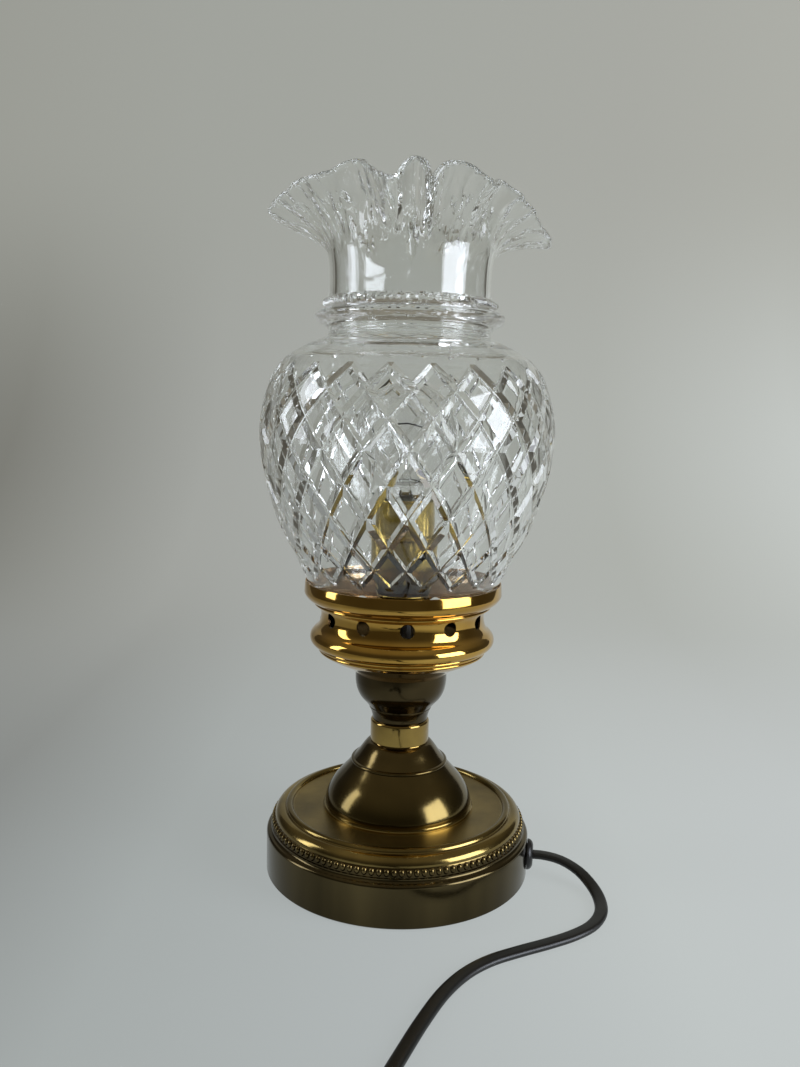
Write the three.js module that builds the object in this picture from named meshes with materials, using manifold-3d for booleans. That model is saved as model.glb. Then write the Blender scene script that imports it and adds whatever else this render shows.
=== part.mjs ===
// Small electric table lamp: spun brass base and stem, pierced brass gallery,
// diamond-cut clear glass shade with a ruffled rim, small screw lampholder and bulb,
// black twin flex with an in-line switch and a two-pin plug.
// Millimetres, +Z up, origin on the floor under the middle of the base. Front is -Y.
import * as THREE from "three";
import { mergeVertices } from "three/addons/utils/BufferGeometryUtils.js";
import Module from "manifold-3d";

const wasm = await Module();
wasm.setup();

// Clearances shared by all pieces
const gap = 0.3; // between pieces that nest, screw or seat on a curve
const roundSides = 28; // facets round the large turned pieces
const middleSides = 20; // round the stem and the lampholder
const smallSides = 14; // round nuts, washers and pins

// Base: a spun brass shell over a cast slug, with a felt underneath
const baseRadius = 59;
const footReveal = 0.6; // the shell's rim stays this far above the table
const skirtHeight = 18.4;
const skirtEdge = 1.4;
const ledgeRise = 1.8;
const beadBandRadius = 56.6; // the pearl band's outside
const beadBandHeight = 3.8;
const beadBandProud = 0.7;
const ovoloRadius = 4.0; // the big quarter round above the pearl band
const ovoloCentreRadius = 51.3;
const rimBeadRadius = 1.7; // the small bead round the recessed disc
const rimBeadCentreRadius = 48.9;
const discDepth = 0.2; // the disc lies this far under the top of the quarter round
const baseWall = 1.0;
const feltThickness = 2.0;
const feltMargin = 0.8; // between the felt's edge and the inside of the skirt
const slugMargin = 5.0; // between the slug and the outside of the skirt
const slugRadius = baseRadius - slugMargin;
const slugThickness = 6.0;
const slugHubRadius = 18.0;
const nutPocketRadius = 14.0;
const nutPocketDepth = 19.0;
const leadSlotWidth = 9.0;

// Stem: bell, neck ring and cup threaded over one hollow rod
const rodRadius = 4.9;
const rodBoreRadius = 3.6;
const rodTail = 7.0; // rod below the ceiling of the nut pocket
const washerRadius = 11.0;
const washerThickness = 1.2;
const lockWasherRadius = 8.4;
const nutFlats = 15.0;
const nutHeight = 4.0;
const stemWall = 1.0;
const bellFootRadius = 33.7;
const bellFootHeight = 1.1;
const bellLipRadius = 32.9;
const bellHeight = 30.1;
const bellTopRadius = 13.2;
const bellBeadRadius = 21.2;
const bellBeadHeight = 21.4;
const neckRingRadius = 13.1;
const neckRingHeight = 10.3;
const cupFootRadius = 12.4;
const cupBandRadius = 13.7;
const cupBandHeight = 5.0;
const cupRadius = 20.2;
const cupHeight = 21.7;

// Gallery: the pierced brass shade holder
const galleryWall = 0.9;
const galleryRadius = 43.4;
const galleryHeight = 40.8;
const galleryRimHeight = 6.2;
const waistRadius = 35.9;
const waistDrop = 14.9; // below the rim
const bulgeRadius = 40.6;
const bulgeDrop = 25.0;
const ventCount = 12;
const ventDiameter = 6.2;
const ventTurn = 3.5; // degrees from the front to the nearest hole
const galleryNutHeight = 4.0;

// Glass shade
const diamondCount = 22;
const diamondTurn = 1.3; // degrees from the front to the nearest column of crossings
const cutDepth = 1.4;
const cutHalfWidth = 2.6;
const shadeFootRadius = 41.3;
const shadeSeat = 0.7; // the foot's underside above the gallery's rim band
const shadeFootHeight = 6.2; // the plain foot inside the gallery rim
const bodyBottomRadius = 42.3;
const bodyRadius = 63.1;
const bodyHeight = 64.4; // from the foot's top up to the widest place
const shoulderRadius = 55.4;
const shoulderRise = 26.3; // from the widest place up to the top of the cutting
// How far each ring of crossings lies below the topmost one
const cutRowDrops = [0, 9.0, 19.7, 31.9, 45.2, 58.2, 70.5, 80.4, 87.4];
const neckWaistRadius = 34.5;
const neckWaistRise = 13.3;
const collarRadius = 40.3;
const collarRise = 8.0;
const bandRadius = 36.0;
const bandRise = 5.5;
const throatRadius = 34.3;
const throatRise = 8.5;
const flareRise = 33.5;
const glassWall = 3.2;
const ruffleRadius = 49.0; // of the flare before it is crimped
const rimThickness = 3.6;
// The crimped rim once round, inward folds and outward lobes by turns:
// [degrees from the front towards +X, radius, height above the throat]
const rimStations = [
  [2, 40.5, 42.5],
  [7, 45, 37],
  [13, 50, 32],
  [23, 50, 39],
  [43, 51, 34],
  [60, 44, 36.5],
  [77, 51, 31],
  [98, 59.5, 17],
  [121, 53, 27],
  [139, 42, 39],
  [161, 56, 29],
  [183, 41, 41],
  [206, 56, 30],
  [229, 43, 40],
  [250, 56, 28],
  [272, 60, 27],
  [300, 53, 35],
  [318, 46, 38],
  [326, 41, 41.5],
  [334, 47, 36],
  [345, 57, 30],
  [355, 47, 37],
];

// Lampholder for a small screw cap
const holderHubRadius = 6.9;
const holderHubHeight = 6.0;
const holderBase = 116.0; // height of the hub's underside above the table
const holderDomeHeight = 15.0;
const holderCapRadius = 14.4;
const holderSkirtHeight = 14.0; // straight part of the cap above its dome
const holderShellRadius = 13.1;
const holderShellOverlap = 6.5; // how far the shell reaches down into the cap
const holderShellRise = 17.0; // and how far it stands above it
const holderFlangeRadius = 15.0;
const holderWall = 0.7;
const linerWall = 0.6;
const screwShellRadius = 7.25; // inside
const screwShellWall = 0.45;
const screwShellHeight = 23.0;
const insulatorRadius = 10.6;
const insulatorLift = 12.0; // its underside above the hub
const insulatorFloor = 5.0;
const insulatorHeight = 29.0;
const terminalOffset = 5.2;

// Bulb: small clear round bulb
const bulbCapRadius = 6.95;
const bulbCapHeight = 21.0;
const bulbTipHeight = 2.2;
const bulbInsulatorHeight = 2.4;
const bulbRadius = 22.5;
const bulbHeight = 52.0; // glass above the cap
const bulbWall = 0.8;
const bulbNeckRadius = 7.4;
const filamentHalfWidth = 7.0;
const filamentHeight = 32.0; // above the cap

// Flex, bushing, switch and plug
const flexWidth = 5.5;
const flexThickness = 2.8;
const flexAngle = -9.0; // degrees: the flex leaves the skirt a little to the front of +X
const flexHeight = 9.7;
const bushingRadius = 6.7;
const bushingProud = 2.6;
const bushingNeckRadius = 4.7;
const bushingFlange = 6.2;
const bushingBore = 3.2;
const flexBend = 11.0; // where it turns up into the rod
const switchPlace = [-6, -194]; // its middle, seen from above
const switchLength = 52.0;
const switchWidth = 25.0;
const switchEndWidth = 13.0;
const switchHeight = 14.0;
const switchSplit = 7.0; // height of the joint between base and cover
const rockerLength = 17.0;
const rockerWidth = 10.0;
const rockerTilt = 8.0; // degrees either way
const rockerPinRadius = 1.3;
const rockerPinLength = 1.6; // each of its two pins
const switchScrewOffset = 18.0;
const coilMiddleRadius = 32.0;
const coilTurns = 7.5;
const coilPitch = 3.35; // turn beside turn
const coilLayerPitch = 6.3; // turn above turn
const coilDip = 4.2; // how far the climbing half turn draws in
const coilStartY = -262;
const plugLength = 34.0;
const plugWidth = 25.5;
const plugNoseWidth = 11.0;
const plugThickness = 13.6;
const plugPlaceY = -221; // its flex end
const plugPinRadius = 2.0;
const plugPinLength = 19.0;
const plugPinSpacing = 18.6;

// Materials
function finish(color, metalness, roughness, extra = {}) {
  return new THREE.MeshStandardMaterial({ color, metalness, roughness, ...extra });
}
const clearGlass = { transparent: true, opacity: 0.3 };
const antiqueBrass = finish(0x6e5c34, 1, 0.32);
const polishedBrass = finish(0xc79a3c, 1, 0.16);
const goldBrass = finish(0xd9a441, 1, 0.14);
const castIron = finish(0x3b3a38, 0.8, 0.7);
const zincSteel = finish(0x9da1a3, 1, 0.4);
const feltGreen = finish(0x2b3a2e, 0, 0.95);
const cutGlass = finish(0xe9eeea, 0, 0.03, clearGlass);
const bulbGlass = finish(0xf3f5f4, 0, 0.02, clearGlass);
const blackPlastic = finish(0x141414, 0, 0.42);
const flexBlack = finish(0x101010, 0, 0.5);
const insulatorBrown = finish(0x2c1d15, 0, 0.5);
const cardLiner = finish(0xb9a27c, 0, 0.9);
const nickel = finish(0xb9bbb8, 1, 0.25);
const tungsten = finish(0x6a6a6c, 1, 0.4);

const lamp = new THREE.Group();

// Merged vertices, no flat slivers at poles, and faces that point out
function closed(geometry) {
  const plain = geometry.clone();
  for (const name of Object.keys(plain.attributes)) {
    if (name !== "position") plain.deleteAttribute(name);
  }
  const merged = mergeVertices(plain, 1e-4);
  const index = merged.index.array;
  const position = merged.attributes.position;
  const [a, b, c] = [new THREE.Vector3(), new THREE.Vector3(), new THREE.Vector3()];
  const kept = [];
  let volume = 0;
  for (let i = 0; i < index.length; i += 3) {
    const [i0, i1, i2] = [index[i], index[i + 1], index[i + 2]];
    if (i0 === i1 || i1 === i2 || i2 === i0) continue;
    kept.push(i0, i1, i2);
    a.fromBufferAttribute(position, i0);
    b.fromBufferAttribute(position, i1);
    c.fromBufferAttribute(position, i2);
    volume += a.dot(b.cross(c));
  }
  if (volume < 0) {
    for (let i = 0; i < kept.length; i += 3) {
      [kept[i + 1], kept[i + 2]] = [kept[i + 2], kept[i + 1]];
    }
  }
  merged.setIndex(kept);
  return merged;
}

function add(name, geometry, material) {
  const mesh = new THREE.Mesh(closed(geometry), material);
  mesh.name = name;
  mesh.geometry.computeVertexNormals();
  lamp.add(mesh);
  return mesh;
}

// Solids for joining and cutting
function solid(geometry) {
  const mesh = closed(geometry);
  return new wasm.Manifold(
    new wasm.Mesh({
      numProp: 3,
      vertProperties: new Float32Array(mesh.attributes.position.array),
      triVerts: new Uint32Array(mesh.index.array),
    }),
  );
}

function geometryOf(manifold) {
  const mesh = manifold.getMesh();
  const geometry = new THREE.BufferGeometry();
  geometry.setAttribute("position", new THREE.BufferAttribute(mesh.vertProperties, 3));
  geometry.setIndex(new THREE.BufferAttribute(mesh.triVerts, 1));
  return geometry;
}

// Turned pieces: an outline of [radius, height] points, closed by its own last edge or by the axis
function turned(outline, sides = roundSides) {
  const first = outline[0];
  const last = outline[outline.length - 1];
  const onAxis = first[0] === 0 && last[0] === 0;
  const points = (onAxis ? outline : [...outline, first]).map(([r, z]) => new THREE.Vector2(r, z));
  return new THREE.LatheGeometry(points, sides).rotateX(Math.PI / 2);
}

function arc(centreR, centreZ, radius, from, to, steps) {
  return Array.from({ length: steps + 1 }, (_, i) => {
    const angle = THREE.MathUtils.degToRad(from + ((to - from) * i) / steps);
    return [centreR + radius * Math.cos(angle), centreZ + radius * Math.sin(angle)];
  });
}

// A smooth run of points through a few chosen ones
function eased(points, steps) {
  const curve = new THREE.CatmullRomCurve3(
    points.map(([r, z]) => new THREE.Vector3(r, z, 0)),
    false,
    "centripetal",
  );
  return curve.getPoints(steps).map((p) => [p.x, p.y]);
}

// Sheet metal: the outside outline with a wall of even thickness to its left
function sheetMetal(outside, wall) {
  const inside = outside.map((point, i) => {
    const before = outside[Math.max(0, i - 1)];
    const after = outside[Math.min(outside.length - 1, i + 1)];
    const one = new THREE.Vector2(point[0] - before[0], point[1] - before[1]);
    const two = new THREE.Vector2(after[0] - point[0], after[1] - point[1]);
    if (i === 0) one.copy(two);
    if (i === outside.length - 1) two.copy(one);
    one.normalize();
    two.normalize();
    const along = one.clone().add(two).normalize();
    const reach = wall / Math.max(0.6, along.dot(one));
    return [point[0] - along.y * reach, point[1] + along.x * reach];
  });
  return [...outside, ...inside.reverse()];
}

// A straight-sided bar or pin between two heights
function ring(outer, inner, bottom, top, sides = smallSides) {
  const outline = [
    [inner, bottom],
    [outer, bottom],
    [outer, top],
    [inner, top],
  ];
  return turned(outline, sides);
}

function rod(radius, bottom, top, sides = smallSides) {
  const outline = [
    [0, bottom],
    [radius, bottom],
    [radius, top],
    [0, top],
  ];
  return turned(outline, sides);
}

function hexNut(flats, height, hole, bottom) {
  const shape = new THREE.Shape();
  const corner = flats / 2 / Math.cos(Math.PI / 6);
  for (let i = 0; i < 6; i++) {
    const angle = (i * Math.PI) / 3;
    const point = [corner * Math.cos(angle), corner * Math.sin(angle)];
    if (i === 0) shape.moveTo(...point);
    else shape.lineTo(...point);
  }
  shape.closePath();
  const bore = new THREE.Path();
  bore.absarc(0, 0, hole, 0, 2 * Math.PI, true);
  shape.holes.push(bore);
  const options = { depth: height, bevelEnabled: false, curveSegments: smallSides / 2 };
  return new THREE.ExtrudeGeometry(shape, options).translate(0, 0, bottom);
}

// Felt pad, cast slug and spun shell of the base
const skirtTop = footReveal + skirtHeight;
const ledgeTop = skirtTop + ledgeRise;
const bandTop = ledgeTop + beadBandHeight;
const ovoloTop = bandTop + ovoloRadius;
const discTop = ovoloTop - discDepth;
const discUnder = discTop - baseWall;
const slugTop = feltThickness + slugThickness;
const pocketCeiling = feltThickness + nutPocketDepth;
const rodHole = rodRadius + gap;

add("felt_pad", rod(baseRadius - baseWall - feltMargin, 0, feltThickness, roundSides), feltGreen);

function buildSlug() {
  const body = solid(
    turned([
      [rodHole, pocketCeiling],
      [nutPocketRadius, pocketCeiling],
      [nutPocketRadius, feltThickness],
      [slugRadius, feltThickness],
      [slugRadius, slugTop],
      [slugHubRadius, slugTop],
      [slugHubRadius, discUnder],
      [rodHole, discUnder],
    ]),
  );
  const slotLength = slugRadius + leadSlotWidth;
  const slotHeight = 2 * (flexHeight + flexThickness - feltThickness);
  const slot = new THREE.BoxGeometry(slotLength, leadSlotWidth, slotHeight);
  slot.translate(slotLength / 2, 0, feltThickness);
  slot.rotateZ(THREE.MathUtils.degToRad(flexAngle));
  return geometryOf(body.subtract(solid(slot)));
}
add("base_weight", buildSlug(), castIron);

const baseOutline = [
  [baseRadius, footReveal],
  ...arc(baseRadius - skirtEdge, skirtTop - skirtEdge, skirtEdge, 0, 90, 2),
  [beadBandRadius, ledgeTop],
  [beadBandRadius - beadBandProud / 2, bandTop - beadBandProud / 2],
  ...arc(ovoloCentreRadius, bandTop, ovoloRadius, 0, 90, 4),
  ...arc(rimBeadCentreRadius, discTop, rimBeadRadius, 15, 180, 5),
  [rodHole, discTop],
];
const baseInside = [
  [rodHole, discUnder],
  [ovoloCentreRadius, discUnder],
  ...arc(ovoloCentreRadius, bandTop, ovoloRadius - baseWall, 90, 0, 2),
  [beadBandRadius - beadBandProud - baseWall, ledgeTop],
  [baseRadius - baseWall, skirtTop - skirtEdge - baseWall],
  [baseRadius - baseWall, footReveal],
];

// The flex and its bushing share one line out of the skirt
function onFlexLine(geometry) {
  return geometry
    .rotateY(Math.PI / 2)
    .translate(0, 0, flexHeight)
    .rotateZ(THREE.MathUtils.degToRad(flexAngle));
}

function buildBaseShell() {
  const shell = solid(turned([...baseOutline, ...baseInside]));
  const hole = onFlexLine(rod(bushingNeckRadius + gap, baseRadius - 6, baseRadius + 6));
  return geometryOf(shell.subtract(solid(hole)));
}
add("base_shell", buildBaseShell(), antiqueBrass);

// Snap-in bushing: domed head outside, split flange inside
const skirtSag = bushingRadius ** 2 / (2 * baseRadius); // the round skirt falls away by this
const clipFace = baseRadius - baseWall - skirtSag - gap;
const headFace = baseRadius + gap / 2;
add(
  "cord_bushing",
  onFlexLine(
    turned(
      [
        [bushingBore, clipFace - 2],
        [bushingFlange - 0.8, clipFace - 2],
        [bushingFlange, clipFace],
        [bushingNeckRadius, clipFace],
        [bushingNeckRadius, headFace],
        [bushingRadius, headFace],
        [bushingRadius - 0.5, headFace + bushingProud * 0.5],
        [bushingRadius - 1.7, headFace + bushingProud * 0.9],
        [bushingBore, headFace + bushingProud],
      ],
      smallSides,
    ),
  ),
  blackPlastic,
);

// Stem, threaded on the rod from the base up
const bellBottom = discTop;
const bellTop = bellBottom + bellHeight;
const neckRingTop = bellTop + neckRingHeight;
const cupBottom = neckRingTop;
const cupTop = cupBottom + cupHeight;
const lipTop = bellBottom + bellFootHeight + 0.5;
const bellBeadZ = bellBottom + bellBeadHeight;
const bellOutline = [
  [bellFootRadius, bellBottom],
  [bellFootRadius, bellBottom + bellFootHeight],
  [bellLipRadius - 0.2, bellBottom + bellFootHeight],
  ...eased(
    [
      [bellLipRadius, lipTop],
      [bellLipRadius - 1.3, lipTop + 5.8],
      [(bellLipRadius + bellBeadRadius) / 2 + 1.4, lipTop + 10.9],
      [bellBeadRadius + 2.9, bellBeadZ - 4.0],
      [bellBeadRadius, bellBeadZ - 0.7],
    ],
    4,
  ),
  [bellBeadRadius + 0.1, bellBeadZ + 0.3],
  [bellBeadRadius - 0.7, bellBeadZ + 0.6],
  [(bellBeadRadius + bellTopRadius) / 2 - 0.4, bellBeadZ + 4.6],
  [bellTopRadius, bellTop],
  [rodHole, bellTop],
];
add("bell_riser", turned(sheetMetal(bellOutline, stemWall)), antiqueBrass);

add(
  "neck_ring",
  turned(
    [
      [rodHole, bellTop],
      [neckRingRadius - 0.3, bellTop],
      [neckRingRadius, bellTop + 0.4],
      [neckRingRadius, neckRingTop - 2.0],
      [neckRingRadius - 0.3, neckRingTop - 0.8],
      [cupFootRadius - 0.2, neckRingTop],
      [rodHole, neckRingTop],
    ],
    middleSides,
  ),
  polishedBrass,
);

const cupShoulder = cupBottom + cupBandHeight;
const cupOutline = [
  [rodHole, cupBottom],
  [cupFootRadius, cupBottom],
  [cupFootRadius + 0.9, cupBottom + 2.2],
  [cupBandRadius - 0.1, cupShoulder - 0.8],
  [cupBandRadius + 0.2, cupShoulder],
  ...eased(
    [
      [cupBandRadius + 0.6, cupShoulder + 0.6],
      [cupRadius - 4.4, cupShoulder + 2.8],
      [cupRadius - 2.0, cupShoulder + 5.6],
      [cupRadius - 0.5, cupShoulder + 8.6],
      [cupRadius, cupShoulder + 12.0],
    ],
    4,
  ),
  [cupRadius, cupTop],
];
add("stem_cup", turned(sheetMetal(cupOutline, stemWall), middleSides), antiqueBrass);

// Gallery
const galleryBottom = cupTop;
const galleryTop = galleryBottom + galleryHeight;
const rimBottom = galleryTop - galleryRimHeight;
const waistZ = galleryTop - waistDrop;
const bulgeZ = galleryTop - bulgeDrop;
const galleryOutline = [
  [rodHole, galleryBottom],
  [cupRadius + 0.6, galleryBottom],
  [cupRadius + 4.6, galleryBottom + 2.4],
  [bulgeRadius - 8.0, galleryBottom + 7.0],
  [bulgeRadius - 4.2, galleryBottom + 9.2],
  [bulgeRadius - 3.2, galleryBottom + 11.2],
  [bulgeRadius - 1.8, bulgeZ - 3.1],
  [bulgeRadius - 0.4, bulgeZ - 1.6],
  [bulgeRadius, bulgeZ],
  [bulgeRadius - 0.9, bulgeZ + 2.4],
  [waistRadius + 1.3, waistZ - 5.2],
  [waistRadius, waistZ],
  [waistRadius + 1.4, waistZ + 4.6],
  [waistRadius + 3.2, waistZ + 5.4],
  [waistRadius + 3.5, waistZ + 6.8],
  [galleryRadius - 1.6, rimBottom - 0.6],
  [galleryRadius, rimBottom + 0.7],
  [galleryRadius, galleryTop],
];
function buildGallery() {
  let body = solid(turned(sheetMetal(galleryOutline, galleryWall)));
  const middle = waistRadius;
  const drill = rod(ventDiameter / 2, middle - 5, middle + 5, 10).rotateY(Math.PI / 2);
  const front = ventTurn - 90;
  for (let i = 0; i < ventCount; i++) {
    const turn = THREE.MathUtils.degToRad(front + (360 / ventCount) * i);
    const hole = drill.clone().translate(0, 0, waistZ).rotateZ(turn);
    body = body.subtract(solid(hole));
  }
  return geometryOf(body);
}
add("gallery", buildGallery(), goldBrass);

// Rod and its fastenings
const rodBottom = pocketCeiling - rodTail;
const rodTop = holderBase + holderHubHeight - 0.5;
add("threaded_rod", ring(rodRadius, rodBoreRadius, rodBottom, rodTop), zincSteel);
const washerBottom = pocketCeiling - washerThickness;
const lockWasherBottom = washerBottom - washerThickness;
add("rod_washer", ring(washerRadius, rodHole, washerBottom, pocketCeiling), zincSteel);
add("lock_washer", ring(lockWasherRadius, rodHole, lockWasherBottom, washerBottom), zincSteel);
const rodNutBottom = lockWasherBottom - nutHeight;
add("rod_nut", hexNut(nutFlats, nutHeight, rodHole, rodNutBottom), polishedBrass);
const galleryFloor = galleryBottom + galleryWall;
const galleryWasherTop = galleryFloor + washerThickness;
add("gallery_washer", ring(washerRadius, rodHole, galleryFloor, galleryWasherTop), polishedBrass);
add(
  "gallery_nut",
  hexNut(nutFlats, galleryNutHeight, rodHole, galleryWasherTop),
  polishedBrass,
);

// Lampholder
const hubTop = holderBase + holderHubHeight;
const domeTop = hubTop + holderDomeHeight;
const holderCapTop = domeTop + holderSkirtHeight;
const domeStep = holderCapRadius - 3.2; // radius of the turned ring on the dome
function buildHolderCap() {
  const cap = solid(
    turned(
      [
        [rodHole, holderBase],
        [holderHubRadius, holderBase],
        [holderHubRadius, hubTop - 1.2],
        [domeStep - 0.7, hubTop + holderDomeHeight * 0.2],
        [domeStep, hubTop + holderDomeHeight * 0.3],
        [domeStep + 0.8, hubTop + holderDomeHeight * 0.32],
        [holderCapRadius - 0.6, hubTop + holderDomeHeight * 0.7],
        [holderCapRadius, domeTop],
        [holderCapRadius, holderCapTop],
        [holderCapRadius - holderWall, holderCapTop],
        [holderCapRadius - holderWall, domeTop],
        [holderCapRadius - 2.6, hubTop + holderDomeHeight * 0.45],
        [holderHubRadius, hubTop + 1.2],
        [rodHole, hubTop],
      ],
      middleSides,
    ),
  );
  const screwHole = rod(grubRadius + gap, rodRadius, holderHubRadius + 3, 8);
  return geometryOf(cap.subtract(solid(onHubSide(screwHole))));
}
function onHubSide(geometry) {
  return geometry.rotateY(Math.PI / 2).translate(0, 0, holderBase + holderHubHeight / 2);
}
const grubRadius = 1.5;
add("holder_cap", buildHolderCap(), polishedBrass);
add(
  "holder_grub_screw",
  onHubSide(rod(grubRadius, rodRadius + gap, holderHubRadius + 0.6, 8)),
  zincSteel,
);

const shellInside = holderShellRadius - holderWall;
const holderShellBottom = holderCapTop - holderShellOverlap;
const holderShellTop = holderCapTop + holderShellRise;
add(
  "holder_shell",
  turned(
    [
      [holderShellRadius, holderShellBottom],
      [holderShellRadius, holderCapTop],
      [holderFlangeRadius, holderCapTop],
      [holderFlangeRadius, holderCapTop + 1.2],
      [holderShellRadius, holderCapTop + 1.5],
      [holderShellRadius, holderShellTop],
      [shellInside, holderShellTop],
      [shellInside, holderShellBottom],
    ],
    middleSides,
  ),
  polishedBrass,
);
const linerRadius = shellInside - gap;
add(
  "holder_liner",
  ring(linerRadius, linerRadius - linerWall, holderShellBottom, holderShellTop - 1.5, middleSides),
  cardLiner,
);

const insulatorBottom = hubTop + insulatorLift;
const insulatorTop = insulatorBottom + insulatorHeight;
const screwShellBottom = insulatorBottom + insulatorFloor;
const screwShellOuter = screwShellRadius + screwShellWall;
const contactHole = 1.4;
add(
  "holder_insulator",
  turned([
    [contactHole + gap, insulatorBottom],
    [insulatorRadius - 2.5, insulatorBottom],
    [insulatorRadius, insulatorBottom + 4.5],
    [insulatorRadius, insulatorTop],
    [screwShellOuter + gap, insulatorTop],
    [screwShellOuter + gap, screwShellBottom - gap],
    [contactHole + gap, screwShellBottom - gap],
  ], middleSides),
  insulatorBrown,
);
const screwShellTop = screwShellBottom + screwShellHeight;
add(
  "screw_shell",
  ring(screwShellOuter, screwShellRadius, screwShellBottom, screwShellTop, middleSides),
  polishedBrass,
);
const contactPad = screwShellBottom + 0.8;
add(
  "centre_contact",
  turned(
    [
      [0, insulatorBottom - 1.2],
      [contactHole, insulatorBottom - 1.2],
      [contactHole, screwShellBottom],
      [3.4, screwShellBottom],
      [3.0, contactPad],
      [0, contactPad + 0.3],
    ],
    smallSides,
  ),
  polishedBrass,
);
for (const [name, side] of [
  ["terminal_screw_live", -1],
  ["terminal_screw_neutral", 1],
]) {
  const head = insulatorBottom - gap;
  const screw = turned(
    [
      [0, head - 1.6],
      [1.9, head - 1.6],
      [2.2, head - 1.0],
      [2.2, head],
      [0, head],
    ],
    12,
  );
  add(name, screw.translate(side * terminalOffset, 0, 0), polishedBrass);
}

// Bulb
const bulbBottom = contactPad + gap + 0.3;
const bulbShellBottom = bulbBottom + bulbTipHeight + bulbInsulatorHeight;
const bulbCapTop = bulbShellBottom + bulbCapHeight;
const tipTop = bulbBottom + bulbTipHeight;
add(
  "bulb_tip",
  turned([[0, bulbBottom], [1.4, bulbBottom + 0.3], [2.4, tipTop], [0, tipTop]], 12),
  nickel,
);
add(
  "bulb_base_insulator",
  turned(
    [[0, tipTop], [2.9, tipTop], [bulbCapRadius - 1.6, bulbShellBottom], [0, bulbShellBottom]],
    smallSides,
  ),
  blackPlastic,
);
add(
  "bulb_cap",
  turned(
    [
      [bulbCapRadius - 1.6, bulbShellBottom],
      [bulbCapRadius, bulbShellBottom + 1.6],
      [bulbCapRadius, bulbCapTop - 3.0],
      [bulbNeckRadius + 0.6, bulbCapTop - 1.6],
      [bulbNeckRadius + 0.6, bulbCapTop],
      [bulbNeckRadius + 0.1, bulbCapTop],
      [bulbNeckRadius + 0.1, bulbCapTop - 1.4],
      [bulbCapRadius - 0.5, bulbCapTop - 2.8],
      [bulbCapRadius - 0.5, bulbShellBottom + 1.9],
      [bulbCapRadius - 2.4, bulbShellBottom + 0.5],
      [bulbCapRadius - 2.4, bulbShellBottom],
    ],
    smallSides,
  ),
  nickel,
);
const globeCentre = bulbCapTop + bulbHeight - bulbRadius;
const neckMeet = -Math.acos((bulbNeckRadius + 1.4) / bulbRadius) * (180 / Math.PI);
const glassOutside = [
  [bulbNeckRadius - gap, bulbCapTop - 1.2],
  [bulbNeckRadius, bulbCapTop + 1.0],
  ...arc(0, globeCentre, bulbRadius, neckMeet, 90, 8),
];
const glassInside = [
  ...arc(0, globeCentre, bulbRadius - bulbWall, 90, neckMeet + 2, 6),
  [bulbNeckRadius - bulbWall, bulbCapTop + 1.4],
  [bulbNeckRadius - gap - bulbWall, bulbCapTop - 1.2],
];
add(
  "bulb_glass",
  turned([...glassOutside, ...glassInside], 20),
  bulbGlass,
);
const stemTop = bulbCapTop + filamentHeight * 0.45;
add(
  "bulb_stem",
  turned(
    [
      [0, bulbCapTop - 1.0],
      [bulbNeckRadius - bulbWall - 2 * gap, bulbCapTop - 1.0],
      [3.4, bulbCapTop + 3.0],
      [2.2, bulbCapTop + 6.0],
      [2.0, stemTop - 1.0],
      [1.2, stemTop],
      [0, stemTop],
    ],
    12,
  ),
  bulbGlass,
);
const filamentZ = bulbCapTop + filamentHeight;
function wire(points, radius, steps, sides = 5) {
  const shape = new THREE.Shape();
  for (let i = 0; i < sides; i++) {
    const angle = (2 * Math.PI * i) / sides;
    const point = [radius * Math.cos(angle), radius * Math.sin(angle)];
    if (i === 0) shape.moveTo(...point);
    else shape.lineTo(...point);
  }
  shape.closePath();
  const path = new THREE.CatmullRomCurve3(points.map((p) => new THREE.Vector3(...p)));
  return new THREE.ExtrudeGeometry(shape, { steps, extrudePath: path, bevelEnabled: false });
}
const wireRadius = 0.35;
for (const [name, side] of [
  ["bulb_lead_left", -1],
  ["bulb_lead_right", 1],
]) {
  const post = [
    [side * 0.6, 0, stemTop + gap],
    [side * 2.0, 0, stemTop + 4],
    [side * (filamentHalfWidth - 1), 0, filamentZ - 3],
    [side * filamentHalfWidth, 0, filamentZ - wireRadius - gap],
  ];
  add(name, wire(post, wireRadius, 6), nickel);
}
add(
  "bulb_filament",
  wire(
    [
      [-filamentHalfWidth, 0, filamentZ + wireRadius],
      [-filamentHalfWidth / 2, -1.5, filamentZ + 1.6],
      [0, -2.2, filamentZ + 2.2],
      [filamentHalfWidth / 2, -1.5, filamentZ + 1.6],
      [filamentHalfWidth, 0, filamentZ + wireRadius],
    ],
    wireRadius,
    8,
  ),
  tungsten,
);

// Cut glass shade
// Outside heights, bottom to top
const footBottom = rimBottom + shadeSeat;
const footTop = footBottom + shadeFootHeight;
const widest = footTop + bodyHeight;
const cutTop = widest + shoulderRise;
const neckWaistZ = cutTop + neckWaistRise;
const collarZ = neckWaistZ + collarRise;
const bandZ = collarZ + bandRise;
const throatZ = bandZ + throatRise;

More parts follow.
